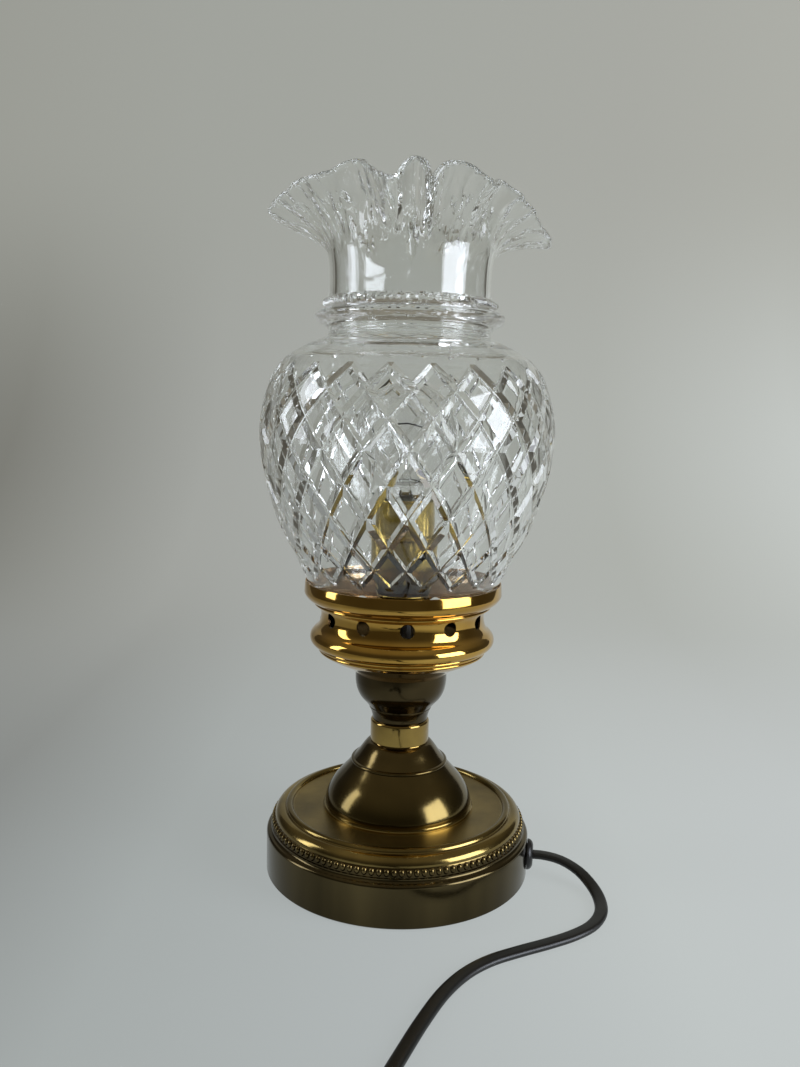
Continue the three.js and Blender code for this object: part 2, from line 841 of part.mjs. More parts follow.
// The jar's outside: a long lower sweep, the widest place, and a tighter shoulder
const bodyCurve = new THREE.CatmullRomCurve3(
  [
    [bodyBottomRadius - 2.4, footTop - 5],
    [bodyBottomRadius, footTop],
    [bodyRadius * 0.746, footTop + 10.0],
    [bodyRadius * 0.856, footTop + 23.3],
    [bodyRadius * 0.924, footTop + 35.1],
    [bodyRadius * 0.983, footTop + 51.1],
    [bodyRadius, widest],
    [bodyRadius * 0.983, widest + 9.6],
    [bodyRadius * 0.916, widest + 22.7],
    [shoulderRadius - 2.9, cutTop + 3.8],
    [shoulderRadius - 8.1, cutTop + 7.3],
    [shoulderRadius - 13.9, cutTop + 10.3],
    [neckWaistRadius, neckWaistZ],
  ].map(([r, z]) => new THREE.Vector3(r, z, 0)),
  false,
  "centripetal",
);
const bodySamples = bodyCurve.getPoints(240);
function bodyRadiusAt(z) {
  for (let i = 1; i < bodySamples.length; i++) {
    const [low, high] = [bodySamples[i - 1], bodySamples[i]];
    if (high.y >= z) {
      const share = (z - low.y) / (high.y - low.y);
      return low.x + (high.x - low.x) * share;
    }
  }
  return neckWaistRadius;
}

// A builder that shares vertices by name while the skin of the shade is laid out
class Skin {
  constructor() {
    this.points = [];
    this.faces = [];
  }
  vertex(x, y, z) {
    this.points.push(x, y, z);
    return this.points.length / 3 - 1;
  }
  polar(radius, turn, z) {
    return this.vertex(radius * Math.sin(turn), -radius * Math.cos(turn), z);
  }
  face(...corners) {
    for (let i = 2; i < corners.length; i++) {
      this.faces.push(corners[0], corners[i - 1], corners[i]);
    }
  }
  // A closed band of quads between two rings of as many vertices
  band(lower, upper) {
    const count = lower.length;
    for (let i = 0; i < count; i++) {
      const j = (i + 1) % count;
      this.face(lower[i], lower[j], upper[j], upper[i]);
    }
  }
  // A closed band from one ring to another with twice as many vertices
  doubling(few, many, flipped = false) {
    const count = few.length;
    for (let i = 0; i < count; i++) {
      const j = (i + 1) % count;
      const middle = many[2 * i + 1];
      for (const corners of [
        [few[i], middle, many[2 * i]],
        [few[i], few[j], middle],
        [few[j], many[(2 * i + 2) % many.length], middle],
      ]) {
        this.face(...(flipped ? corners.reverse() : corners));
      }
    }
  }
  geometry() {
    const geometry = new THREE.BufferGeometry();
    geometry.setAttribute("position", new THREE.Float32BufferAttribute(this.points, 3));
    geometry.setIndex(this.faces);
    return geometry;
  }
}

const columns = 2 * diamondCount;
const halfPitch = Math.PI / diamondCount; // half a diamond round the shade
const firstTurn = THREE.MathUtils.degToRad(diamondTurn);
// Crossings of the mitre cuts lie on these rings
const rowHeights = cutRowDrops.map((drop) => cutTop - drop);
const lastRow = rowHeights.length - 1;

// The rim's radius and height at any turn, read off a smooth curve through its stations
const fullTurn = 2 * Math.PI;
const rimCurve = new THREE.CatmullRomCurve3(
  rimStations.map(([degrees, radius, height]) => {
    const turn = THREE.MathUtils.degToRad(degrees);
    return new THREE.Vector3(radius * Math.sin(turn), -radius * Math.cos(turn), height);
  }),
  true,
  "centripetal",
);
const rimSamples = rimCurve
  .getPoints(720)
  .map(({ x, y, z }) => {
    return { turn: (Math.atan2(x, -y) + fullTurn) % fullTurn, radius: Math.hypot(x, y), height: z };
  })
  .sort((one, other) => one.turn - other.turn);
function rimAt(turn) {
  const wrapped = ((turn % fullTurn) + fullTurn) % fullTurn;
  const found = rimSamples.findIndex((sample) => sample.turn > wrapped);
  const high = rimSamples[Math.max(found, 0)];
  const low = rimSamples[(found > 0 ? found : rimSamples.length) - 1];
  const width = (high.turn - low.turn + fullTurn) % fullTurn;
  const share = ((wrapped - low.turn + fullTurn) % fullTurn) / width;
  return {
    radius: THREE.MathUtils.lerp(low.radius, high.radius, share),
    height: THREE.MathUtils.lerp(low.height, high.height, share),
  };
}

// The flare above the throat: share runs from the throat, 0, to the rim, 1
function flare(turn, share) {
  const rim = rimAt(turn);
  const bend = share ** 2.9; // how the flare opens
  const crimp = share ** 2.2; // how the folds and lobes grow out of it
  const radius =
    throatRadius + (ruffleRadius - throatRadius) * bend + (rim.radius - ruffleRadius) * crimp;
  const z = throatZ + flareRise * share + (rim.height - flareRise) * crimp;
  return new THREE.Vector3(radius * Math.sin(turn), -radius * Math.cos(turn), z);
}

function buildShade() {
  const skin = new Skin();
  const turnOf = (column) => firstTurn + column * halfPitch;
  // Crossing vertices at the bottom of the cuts, by row and column; row parity picks the columns
  const crossing = rowHeights.map(() => new Map());
  const isCrossing = (row, column) => (row + column) % 2 !== 0;
  rowHeights.forEach((z, row) => {
    for (let column = 0; column < columns; column++) {
      if (!isCrossing(row, column)) continue;
      const depth = row === 0 || row === lastRow ? cutDepth * 0.5 : cutDepth;
      const place = skin.polar(bodyRadiusAt(z) - depth, turnOf(column), z);
      crossing[row].set(column, place);
    }
  });
  const at = (row, column) => crossing[row].get((column + columns) % columns);
  // How far the flat of a diamond stays from its corners, up or down and sideways
  const insetZ = (row) => {
    const width = bodyRadiusAt(rowHeights[row]) * halfPitch;
    const up = row > 0 ? rowHeights[row - 1] - rowHeights[row] : 9;
    const down = row < lastRow ? rowHeights[row] - rowHeights[row + 1] : 9;
    const length = (up + down) / 2;
    const diagonal = Math.hypot(width, length);
    return { tall: (cutHalfWidth * diagonal) / width, wide: (cutHalfWidth * diagonal) / length };
  };
  // Whole diamonds
  for (let row = 1; row < lastRow; row++) {
    for (let column = 0; column < columns; column++) {
      if (isCrossing(row, column)) continue;
      const z = rowHeights[row];
      const { tall, wide } = insetZ(row);
      const turn = turnOf(column);
      const topZ = rowHeights[row - 1] - tall;
      const bottomZ = rowHeights[row + 1] + tall;
      const side = halfPitch - wide / bodyRadiusAt(z);
      const top = skin.polar(bodyRadiusAt(topZ), turn, topZ);
      const bottom = skin.polar(bodyRadiusAt(bottomZ), turn, bottomZ);
      const left = skin.polar(bodyRadiusAt(z), turn - side, z);
      const right = skin.polar(bodyRadiusAt(z), turn + side, z);
      skin.face(bottom, right, top, left);
      const [up, down] = [at(row - 1, column), at(row + 1, column)];
      const [west, east] = [at(row, column - 1), at(row, column + 1)];
      skin.face(down, east, right, bottom);
      skin.face(east, up, top, right);
      skin.face(up, west, left, top);
      skin.face(west, down, bottom, left);
    }
  }
  // Zigzag edges where the cutting ends, above and below
  const edge = (row, next, sign) => {
    const ringOfEdge = [];
    const { tall } = insetZ(sign > 0 ? 1 : lastRow - 1);
    for (let column = 0; column < columns; column++) {
      const onTip = isCrossing(row, column);
      const z = onTip ? rowHeights[row] + sign * tall * 0.55 : rowHeights[next] + sign * tall;
      ringOfEdge.push(skin.polar(bodyRadiusAt(z), turnOf(column), z));
    }
    for (let column = 0; column < columns; column++) {
      const other = (column + 1) % columns;
      const a = at(isCrossing(row, column) ? row : next, column);
      const b = at(isCrossing(row, other) ? row : next, other);
      const corners = [a, b, ringOfEdge[other], ringOfEdge[column]];
      skin.face(...(sign > 0 ? corners : corners.reverse()));
    }
    return ringOfEdge;
  };
  const topEdge = edge(0, 1, 1);
  const bottomEdge = edge(lastRow, lastRow - 1, -1);
  const circle = (radius, z, count = columns) =>
    Array.from({ length: count }, (_, i) =>
      skin.polar(radius, firstTurn + (i * 2 * Math.PI) / count, z),
    );
  // Up the shoulder and neck to the throat
  const neck = [
    [bodyRadiusAt(cutTop + 3.4), cutTop + 3.4],
    [bodyRadiusAt(cutTop + 8.2), cutTop + 8.2],
    [neckWaistRadius, neckWaistZ],
    [neckWaistRadius + 0.8, neckWaistZ + 2.2],
    [collarRadius - 1.2, collarZ - 3.4],
    [collarRadius, collarZ - 0.2],
    [throatRadius + 1.0, collarZ + 3.2],
    [bandRadius, bandZ - 1.6],
    [bandRadius, bandZ + 1.6],
    [throatRadius + 0.3, bandZ + 2.4],
    [throatRadius, throatZ],
  ];
  let lower = topEdge;
  for (const [radius, z] of neck) {
    const upper = circle(radius, z);
    skin.band(lower, upper);
    lower = upper;
  }
  // The flare and its ruffle, outside and back down inside
  const step = 0.02;
  const inward = (turn, share) => {
    const across = flare(turn + step, share).sub(flare(turn - step, share));
    const along = flare(turn, share + step).sub(flare(turn, share - step));
    return along.cross(across).normalize();
  };
  const ringOf = (share, depth, count = 2 * columns) =>
    Array.from({ length: count }, (_, i) => {
      const turn = firstTurn + (i * 2 * Math.PI) / count;
      const p = flare(turn, share).addScaledVector(inward(turn, share), depth);
      return skin.vertex(p.x, p.y, p.z);
    });
  const lowShare = 0.32;
  const shares = [0.55, 0.75, 0.9, 0.985];
  const lowRing = ringOf(lowShare, 0, columns);
  skin.band(lower, lowRing);
  const outerRings = shares.map((share) => ringOf(share, 0));
  skin.doubling(lowRing, outerRings[0]);
  for (let i = 1; i < outerRings.length; i++) skin.band(outerRings[i - 1], outerRings[i]);
  const lipRing = ringOf(1.0, rimThickness / 2);
  const innerRings = [...shares].reverse().map((share) => ringOf(share, rimThickness));
  skin.band(outerRings[outerRings.length - 1], lipRing);
  skin.band(lipRing, innerRings[0]);
  for (let i = 1; i < innerRings.length; i++) skin.band(innerRings[i - 1], innerRings[i]);
  // Down the inside
  const inside = [
    [throatRadius - glassWall, throatZ],
    [throatRadius - glassWall, bandZ],
    [throatRadius - glassWall + 1.6, collarZ],
    [neckWaistRadius - glassWall + 0.4, neckWaistZ + 1.0],
    [neckWaistRadius - glassWall + 3.2, neckWaistZ - 4.2],
    ...[-1, 9, 20, 34, 50, 66, 80].map((down) => {
      const z = cutTop - down;
      return [bodyRadiusAt(z) - glassWall, z - 0.6];
    }),
  ];
  const foot = [
    [shadeFootRadius, footBottom],
    [shadeFootRadius, footTop - 1.5],
    [bodyRadiusAt(footTop), footTop],
  ];
  const innerLow = ringOf(lowShare, glassWall, columns);
  skin.doubling(innerLow, innerRings[innerRings.length - 1], true);
  let above = circle(...inside[0], diamondCount);
  skin.doubling(above, innerLow, true);
  for (const [radius, z] of inside.slice(1)) {
    const below = circle(radius, z, diamondCount);
    skin.band(above, below);
    above = below;
  }
  // Round the plain foot and up to the zigzag edge
  const footInner = circle(shadeFootRadius - glassWall, footBottom);
  skin.doubling(above, footInner);
  let below = footInner;
  for (const [radius, z] of foot) {
    const next = circle(radius, z);
    skin.band(below, next);
    below = next;
  }
  skin.band(below, bottomEdge);
  return skin.geometry();
}
add("glass_shade", buildShade(), cutGlass);

// Twin flex: a flat section with round edges, swept along a route that says which way it lies
function flexSection() {
  const shape = new THREE.Shape();
  const [wide, thin] = [flexWidth / 2, flexThickness / 2];
  const straight = wide - thin;
  const half = [
    [wide, 0],
    [straight + thin * Math.SQRT1_2, thin * Math.SQRT1_2],
    [straight, thin],
    [-straight, thin],
    [-straight - thin * Math.SQRT1_2, thin * Math.SQRT1_2],
  ];
  [...half, ...half.map(([x, y]) => [-x, -y])].forEach(([x, y], i) => {
    if (i === 0) shape.moveTo(x, y);
    else shape.lineTo(x, y);
  });
  shape.closePath();
  return shape;
}

// roll is how far the flat side stands up from level, in degrees, at the start and at the end
class FlexRoute extends THREE.CatmullRomCurve3 {
  constructor(points, roll = [0, 0]) {
    super(points.map((p) => new THREE.Vector3(...p)), false, "centripetal");
    this.roll = roll;
  }
  computeFrenetFrames(steps) {
    const frames = { tangents: [], normals: [], binormals: [] };
    for (let i = 0; i <= steps; i++) {
      const share = i / steps;
      const tangent = this.getTangentAt(share);
      const across = new THREE.Vector3(-tangent.y, tangent.x, 0).normalize();
      const turn = THREE.MathUtils.lerp(...this.roll, THREE.MathUtils.smoothstep(share, 0.1, 0.9));
      across.applyAxisAngle(tangent, THREE.MathUtils.degToRad(turn));
      frames.tangents.push(tangent);
      frames.normals.push(across);
      frames.binormals.push(tangent.clone().cross(across));
    }
    return frames;
  }
}

function flex(route, steps) {
  const options = { steps, extrudePath: route, bevelEnabled: false };
  return new THREE.ExtrudeGeometry(flexSection(), options);
}

// Inside the lamp: through the bushing, along the slot of the slug, up the bore of the rod
const leadEnd = rodTop + 1.0;
const slotRest = feltThickness + flexThickness / 2 + gap;
const bendCentre = slotRest + flexBend;
class InnerRoute extends FlexRoute {
  computeFrenetFrames(steps) {
    const frames = { tangents: [], normals: [], binormals: [] };
    for (let i = 0; i <= steps; i++) {
      const tangent = this.getTangentAt(i / steps);
      const across = new THREE.Vector3(0, 1, 0);
      frames.tangents.push(tangent);
      frames.normals.push(across);
      frames.binormals.push(tangent.clone().cross(across));
    }
    return frames;
  }
}
const innerRoute = new InnerRoute([
  [headFace, 0, flexHeight],
  [baseRadius - 6, 0, flexHeight],
  [slugRadius - 10, 0, flexHeight - 2.2],
  [slugRadius - 24, 0, slotRest + 1.0],
  [flexBend + 6, 0, slotRest],
  ...arc(flexBend, bendCentre, flexBend, 270, 180, 4).map(([x, z]) => [x, 0, z]),
  [0, 0, bendCentre + 6],
  [0, 0, (bendCentre + leadEnd) / 2],
  [0, 0, leadEnd],
]);
const innerFlex = flex(innerRoute, 20).rotateZ(THREE.MathUtils.degToRad(flexAngle));
add("inner_flex", innerFlex, flexBlack);
const coreRadius = 1.0;
const screwHeadBottom = insulatorBottom - gap - 1.6;
for (const [name, side] of [
  ["core_live", -1],
  ["core_neutral", 1],
]) {
  const route = [
    [side * 1.3, 0, leadEnd + gap],
    [side * 1.5, 0, leadEnd + 2.0],
    [side * 4.6, 0, screwHeadBottom - 3.2],
    [side * terminalOffset, 0, screwHeadBottom - gap],
  ];
  add(name, wire(route, coreRadius, 6, 6), flexBlack);
}

// Flex outside, first stretch: out of the bushing, round the front of the base to the switch
const flexRest = flexThickness / 2 + 0.1; // height of its middle where it lies flat
const flexTurn = THREE.MathUtils.degToRad(flexAngle);
const onFlexAxis = (distance) => [
  distance * Math.cos(flexTurn),
  distance * Math.sin(flexTurn),
  flexHeight,
];
const [switchX, switchY] = switchPlace;
const switchNear = switchY + switchLength / 2 + gap;
const switchFar = switchY - switchLength / 2 - gap;
const runRoute = new FlexRoute([
  onFlexAxis(headFace + gap),
  onFlexAxis(67),
  [73.5, -12.6, 8.6],
  [80.5, -17.0, 6.0],
  [85.2, -24.6, 3.0],
  [86.6, -34.0, flexRest + 0.2],
  [85.0, -44.0, flexRest],
  [79.6, -53.6, flexRest],
  [71.0, -61.0, flexRest],
  [60.0, -67.4, flexRest],
  [48.0, -73.4, flexRest],
  [36.0, -80.2, flexRest],
  [26.6, -88.6, flexRest],
  [18.2, -100.4, flexRest],
  [10.2, -116.8, flexRest],
  [1.9, -137.0, flexRest],
  [-3.0, -150.6, flexRest + 1.0],
  [-5.7, -158.0, 4.4],
  [switchX, switchNear + flexWidth / 2, switchSplit],
  [switchX, switchNear, switchSplit],
]);
add("cord_run", flex(runRoute, 26), flexBlack);

// In-line switch, with its length along Y
function switchPlan(inset) {
  const [long, wide] = [switchLength / 2 - inset, switchWidth / 2 - inset];
  const end = switchEndWidth / 2 - inset;
  const half = [
    [end, -long],
    [wide, -long * 0.52],
    [wide, long * 0.52],
    [end, long],
  ];
  const shape = new THREE.Shape();
  [...half, ...half.map(([x, y]) => [-x, -y])].forEach(([x, y], i) => {
    if (i === 0) shape.moveTo(x, y);
    else shape.lineTo(x, y);
  });
  shape.closePath();
  return shape;
}
const switchEdge = 1.6; // its rounded top and bottom edges
function switchHalf(height) {
  const options = {
    depth: height - switchEdge,
    steps: 1,
    bevelThickness: switchEdge,
    bevelSize: switchEdge,
    bevelSegments: 2,
  };
  const rounded = solid(new THREE.ExtrudeGeometry(switchPlan(switchEdge), options));
  const slab = new THREE.BoxGeometry(2 * switchWidth, 2 * switchLength, 2 * height);
  return rounded.intersect(solid(slab.translate(0, 0, height)));
}
const rockerMargin = 0.5; // clearance round the rocker
const pocketFloor = 3.0; // of the base's pocket under the rocker
const pivotHeight = switchHeight - 4.0;
function window(bottom, top) {
  const box = new THREE.BoxGeometry(
    rockerWidth + 2 * rockerMargin,
    rockerLength + 2 * rockerMargin,
    top - bottom,
  );
  return solid(box.translate(0, 0, (bottom + top) / 2));
}
// The rocker's pins, and the slots that they snap up into from below the cover
function rockerPins(radius, length) {
  return solid(rod(radius, -length, length).rotateY(Math.PI / 2));
}
function pinSlots() {
  const radius = rockerPinRadius + gap;
  const reach = rockerWidth / 2 + rockerPinLength + gap;
  const height = pivotHeight - switchSplit + 1;
  const box = new THREE.BoxGeometry(2 * reach, 2 * radius, height);
  const way = solid(box.translate(0, 0, pivotHeight - height / 2));
  return way.add(rockerPins(radius, reach).translate([0, 0, pivotHeight]));
}
function place(geometry) {
  return geometry.translate(switchX, switchY, 0);
}
const screwPlaces = [-switchScrewOffset, switchScrewOffset];
const switchScrewHead = 2.6;
const switchScrewShank = 1.2;
const screwSink = 1.8; // depth of the countersunk pocket under the base
const screwReach = 11.0; // height of the screw's tip
function screwWell(y) {
  const well = rod(switchScrewHead + gap, -1, screwSink, 10);
  const hole = rod(switchScrewShank + gap, -1, screwReach + gap, 8);
  return solid(well.translate(0, y, 0)).add(solid(hole.translate(0, y, 0)));
}
function buildSwitchBase() {
  let body = switchHalf(switchSplit).mirror([0, 0, 1]).translate([0, 0, switchSplit]);
  body = body.subtract(window(pocketFloor, switchSplit + 1));
  for (const y of screwPlaces) body = body.subtract(screwWell(y));
  return place(geometryOf(body));
}
function buildSwitchCover() {
  let body = switchHalf(switchHeight - switchSplit).translate([0, 0, switchSplit]);
  body = body.subtract(window(0, switchHeight + 1)).subtract(pinSlots());
  for (const y of screwPlaces) body = body.subtract(screwWell(y));
  return place(geometryOf(body));
}
add("switch_base", buildSwitchBase(), blackPlastic);
add("switch_cover", buildSwitchCover(), blackPlastic);
for (const [name, y] of [
  ["switch_screw_far", screwPlaces[0]],
  ["switch_screw_near", screwPlaces[1]],
]) {
  const screw = turned(
    [
      [0, 0.4],
      [switchScrewHead, 0.4],
      [switchScrewHead, screwSink - gap],
      [switchScrewShank, screwSink - gap],
      [switchScrewShank, screwReach],
      [0, screwReach],
    ],
    10,
  );
  add(name, place(screw.translate(0, y, 0)), zincSteel);
}

// Contact spring on the pocket's floor, pressed by the rocker's nose
function buildContact() {
  const shape = new THREE.Shape();
  const half = rockerLength / 2 - 1;
  shape.moveTo(-half, 0);
  shape.lineTo(half, 0);
  shape.lineTo(half, 0.6);
  shape.lineTo(2, 0.6);
  shape.lineTo(1, 1.2);
  shape.lineTo(-1, 1.2);
  shape.lineTo(-2, 0.6);
  shape.lineTo(-half, 0.6);
  shape.closePath();
  const width = rockerWidth - 4;
  const strip = new THREE.ExtrudeGeometry(shape, { depth: width, bevelEnabled: false });
  strip.translate(0, 0, -width / 2).rotateY(Math.PI / 2).rotateX(Math.PI / 2);
  return place(strip.translate(0, 0, pocketFloor));
}
add("switch_contact", buildContact(), polishedBrass);

// Rocker: a shallow V on top, drawn in its off position
function buildRocker() {
  const shape = new THREE.Shape();
  const half = rockerLength / 2;
  const rise = 3.4; // of each arm above the pivot
  shape.moveTo(0.8 - half, rise + 1.2);
  shape.lineTo(0, rise);
  shape.lineTo(half - 0.8, rise + 1.2);
  shape.lineTo(half, 0.4);
  shape.lineTo(2.2, -3.6);
  shape.lineTo(-2.2, -3.6);
  shape.lineTo(-half, 0.4);
  shape.closePath();
  const options = { depth: rockerWidth, bevelEnabled: false };
  const rocker = new THREE.ExtrudeGeometry(shape, options).translate(0, 0, -rockerWidth / 2);
  rocker.rotateY(Math.PI / 2).rotateX(Math.PI / 2);
  rocker.rotateX(THREE.MathUtils.degToRad(rockerTilt));
  const pins = rockerPins(rockerPinRadius, rockerWidth / 2 + rockerPinLength);
  return place(geometryOf(solid(rocker).add(pins)).translate(0, 0, pivotHeight));
}
add("switch_rocker", buildRocker(), blackPlastic);

// Coil of the spare flex, standing on edge: in along the floor, up a layer, and out again
const coilHalfTurns = coilTurns / 2;
const coilInner = coilMiddleRadius - (coilPitch * coilHalfTurns) / 2;
const coilOuter = coilInner + coilPitch * coilHalfTurns;
const coilCentre = [switchX - coilOuter, coilStartY];
const coilRest = flexWidth / 2 + 0.1;
const stepsPerTurn = 20;
function coilStations() {
  const steps = coilTurns * stepsPerTurn;
  const stations = [];
  for (let i = 0; i <= steps; i++) {
    const along = (i / stepsPerTurn - coilHalfTurns) * 2 * Math.PI;
    const climbing = Math.abs(along) < Math.PI / 2;
    const climb = THREE.MathUtils.smootherstep(along, -Math.PI / 2, Math.PI / 2);
    const radius =
      coilInner +
      (coilPitch * Math.abs(along)) / (2 * Math.PI) -
      (climbing ? coilDip * Math.cos(along) ** 2 : 0);
    const turn = (-2 * Math.PI * i) / stepsPerTurn;
    stations.push({ turn, radius, z: coilRest + coilLayerPitch * climb });
  }
  return stations;
}

// Six-sided section of the flex on edge, as [outward, upward] offsets
const edgeSection = [1, 0, -1].flatMap((side) => {
  const shoulder = (flexWidth - flexThickness) / 2;
  const thin = flexThickness / 2;
  if (side === 0) return [[0, flexWidth / 2]];
  return side > 0 ? [[thin, -shoulder], [thin, shoulder]] : [[-thin, shoulder], [-thin, -shoulder]];
});
edgeSection.push([0, -flexWidth / 2]);

function buildCoil() {
  const skin = new Skin();
  const [centreX, centreY] = coilCentre;
  const stations = coilStations();
  const ringAt = ({ turn, radius, z }, back) =>
    edgeSection.map(([out, up]) =>
      skin.vertex(
        centreX + (radius + out) * Math.cos(turn) + back * Math.sin(turn),
        centreY + (radius + out) * Math.sin(turn) - back * Math.cos(turn),
        z + up,
      ),
    );
  const rings = [
    ringAt(stations[0], -flexWidth),
    ...stations.map((station) => ringAt(station, 0)),
    ringAt(stations[stations.length - 1], flexWidth),
  ];
  for (let i = 1; i < rings.length; i++) skin.band(rings[i - 1], rings[i]);
  skin.face(...[...rings[0]].reverse());
  skin.face(...rings[rings.length - 1]);
  return skin.geometry();
}
add("cord_coil", buildCoil(), flexBlack);

// Least gap between turns, measured between section corners and sides in the same radial plane
function leastCoilGap() {
  const stations = coilStations();
  const corners = stations.map(({ radius, z }) =>
    edgeSection.map(([out, up]) => [radius + out, z + up]),
  );
  let least = Infinity;
  const measure = (points, sides) => {
    for (const [x, y] of points) {
      sides.forEach(([x1, y1], i) => {
        const [x2, y2] = sides[(i + 1) % sides.length];
        const [dx, dy] = [x2 - x1, y2 - y1];
        const nearest = ((x - x1) * dx + (y - y1) * dy) / (dx * dx + dy * dy);
        const share = THREE.MathUtils.clamp(nearest, 0, 1);
        least = Math.min(least, Math.hypot(x - x1 - share * dx, y - y1 - share * dy));
      });
    }
  };
  for (let i = 0; i < corners.length; i++) {
    for (let j = i + stepsPerTurn; j < corners.length; j += stepsPerTurn) {
      measure(corners[i], corners[j]);
      measure(corners[j], corners[i]);
    }
  }
  return least;
}
console.log(`least gap in the coil: ${leastCoilGap().toFixed(2)} mm`);

// Stretch from the switch to the coil, turning from flat to on edge
const linkRoute = new FlexRoute(
  [
    [switchX, switchFar, switchSplit],
    [switchX, switchFar - flexWidth / 2, switchSplit],
    [switchX + 0.6, switchFar - 14, 4.6],
    [switchX + 0.4, switchFar - 24, coilRest + 0.4],
    [switchX, coilStartY + 1.5 * flexWidth + gap, coilRest],
    [switchX, coilStartY + flexWidth + gap, coilRest],
  ],
  [0, 90],
);
add("cord_link", flex(linkRoute, 8), flexBlack);

// Stretch from the coil to the plug, turning flat again
const tailX = coilCentre[0] - coilOuter;
const tailRoute = new FlexRoute(
  [
    [tailX, coilStartY + flexWidth + gap, coilRest + coilLayerPitch],
    [tailX, coilStartY + 1.5 * flexWidth, coilRest + coilLayerPitch],
    [tailX - 0.6, coilStartY + 19, 6.6],
    [tailX - 0.4, plugPlaceY - 12, 5.4],
    [tailX, plugPlaceY - flexWidth / 2, plugThickness / 2],
    [tailX, plugPlaceY - gap, plugThickness / 2],
  ],
  [90, 0],
);
add("cord_tail", flex(tailRoute, 8), flexBlack);

// Two-pin plug, lying flat with its pins pointing back at the lamp
function buildPlug() {
  const shape = new THREE.Shape();
  const edge = 1.8;
  const [nose, wide] = [plugNoseWidth / 2 - edge, plugWidth / 2 - edge];
  const outline = [
    [-nose, edge],
    [nose, edge],
    [nose + 1.2, plugLength * 0.3],
    [wide, plugLength * 0.68],
    [wide, plugLength - edge],
    [-wide, plugLength - edge],
    [-wide, plugLength * 0.68],
    [-nose - 1.2, plugLength * 0.3],
  ];
  outline.forEach(([x, y], i) => {
    if (i === 0) shape.moveTo(x, y);
    else shape.lineTo(x, y);
  });
  shape.closePath();
  const options = {
    depth: plugThickness - 2 * edge,
    bevelThickness: edge,
    bevelSize: edge,
    bevelSegments: 2,
  };
  return new THREE.ExtrudeGeometry(shape, options).translate(tailX, plugPlaceY, edge);
}
add("plug_body", buildPlug(), blackPlastic);
for (const [name, side] of [
  ["plug_pin_left", -1],
  ["plug_pin_right", 1],
]) {
  const start = plugPlaceY + plugLength;
  const pin = turned(
    [
      [0, start],
      [plugPinRadius, start],
      [plugPinRadius, start + plugPinLength - 1],
      [plugPinRadius - 0.7, start + plugPinLength],
      [0, start + plugPinLength],
    ],
    12,
  ).rotateX(-Math.PI / 2);
  add(name, pin.translate(tailX + (side * plugPinSpacing) / 2, 0, plugThickness / 2), nickel);
}

export default lamp;
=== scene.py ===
# Small brass table lamp with a diamond-cut glass shade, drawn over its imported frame.
# All places are in metres in the frame's axes; sizes of small forms are written in millimetres.
import functools
import math
import random

import bmesh
import bpy
from mathutils import Matrix, Vector, noise


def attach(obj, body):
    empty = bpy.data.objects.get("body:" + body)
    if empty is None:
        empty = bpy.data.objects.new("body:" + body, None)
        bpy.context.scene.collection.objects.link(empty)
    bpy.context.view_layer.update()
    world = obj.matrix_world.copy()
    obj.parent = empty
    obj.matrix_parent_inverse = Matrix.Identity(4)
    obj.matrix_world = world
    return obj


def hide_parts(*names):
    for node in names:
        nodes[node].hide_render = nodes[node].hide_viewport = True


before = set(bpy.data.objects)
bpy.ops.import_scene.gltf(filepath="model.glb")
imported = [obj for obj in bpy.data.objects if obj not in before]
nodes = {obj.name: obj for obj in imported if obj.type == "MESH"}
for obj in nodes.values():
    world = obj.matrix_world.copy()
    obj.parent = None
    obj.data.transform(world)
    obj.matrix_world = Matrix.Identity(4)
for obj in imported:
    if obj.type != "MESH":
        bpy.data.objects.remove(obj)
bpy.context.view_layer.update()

scene = bpy.context.scene
scene.view_settings.view_transform = "Standard"
mm = 0.001


# Camera: a phone held a little above the middle of the shade, about 42 cm away, tilted down
# and turned clockwise by a degree and a half, as the lamp leans in the picture.
focal_length = 43.2
camera_place = Vector((0.0, -416.3, 209.4)) * mm
camera_pitch = math.radians(7.87)
camera_yaw = math.radians(-0.27)
camera_roll = math.radians(1.385)

ahead = Vector(
    (
        math.sin(camera_yaw) * math.cos(camera_pitch),
        math.cos(camera_yaw) * math.cos(camera_pitch),
        -math.sin(camera_pitch),
    )
)
level_right = Vector((math.cos(camera_yaw), -math.sin(camera_yaw), 0.0))
level_up = level_right.cross(ahead)
right = math.cos(camera_roll) * level_right + math.sin(camera_roll) * level_up
up = math.cos(camera_roll) * level_up - math.sin(camera_roll) * level_right
camera_data = bpy.data.cameras.new("camera")
camera_data.sensor_fit = "HORIZONTAL"
camera_data.sensor_width = 36.0
camera_data.lens = focal_length
camera_data.clip_start = 0.01
camera = bpy.data.objects.new("camera", camera_data)
turn = Matrix((right, up, -ahead)).transposed()
camera.matrix_world = Matrix.Translation(camera_place) @ turn.to_4x4()
scene.collection.objects.link(camera)
scene.camera = camera


# Flex: black PVC flat twin flex, extruded with a smooth satin skin. It lies flat on the table
# from the bushing to the switch, and on edge in the coil beyond the view.
def linear(hex_colour):
    """An sRGB hex colour as the linear colour that a socket takes."""
    parts = [int(hex_colour[i : i + 2], 16) / 255 for i in (1, 3, 5)]
    bent = [c / 12.92 if c <= 0.04045 else ((c + 0.055) / 1.055) ** 2.4 for c in parts]
    return (*bent, 1.0)


def add(tree, kind, links=None, inputs=None, **settings):
    """A node with its settings, its socket values and the sockets that feed it."""
    made = tree.nodes.new(kind)
    for key, value in settings.items():
        setattr(made, key, value)
    for key, value in (inputs or {}).items():
        made.inputs[key].default_value = value
    for key, source in (links or {}).items():
        tree.links.new(source, made.inputs[key])
    return made


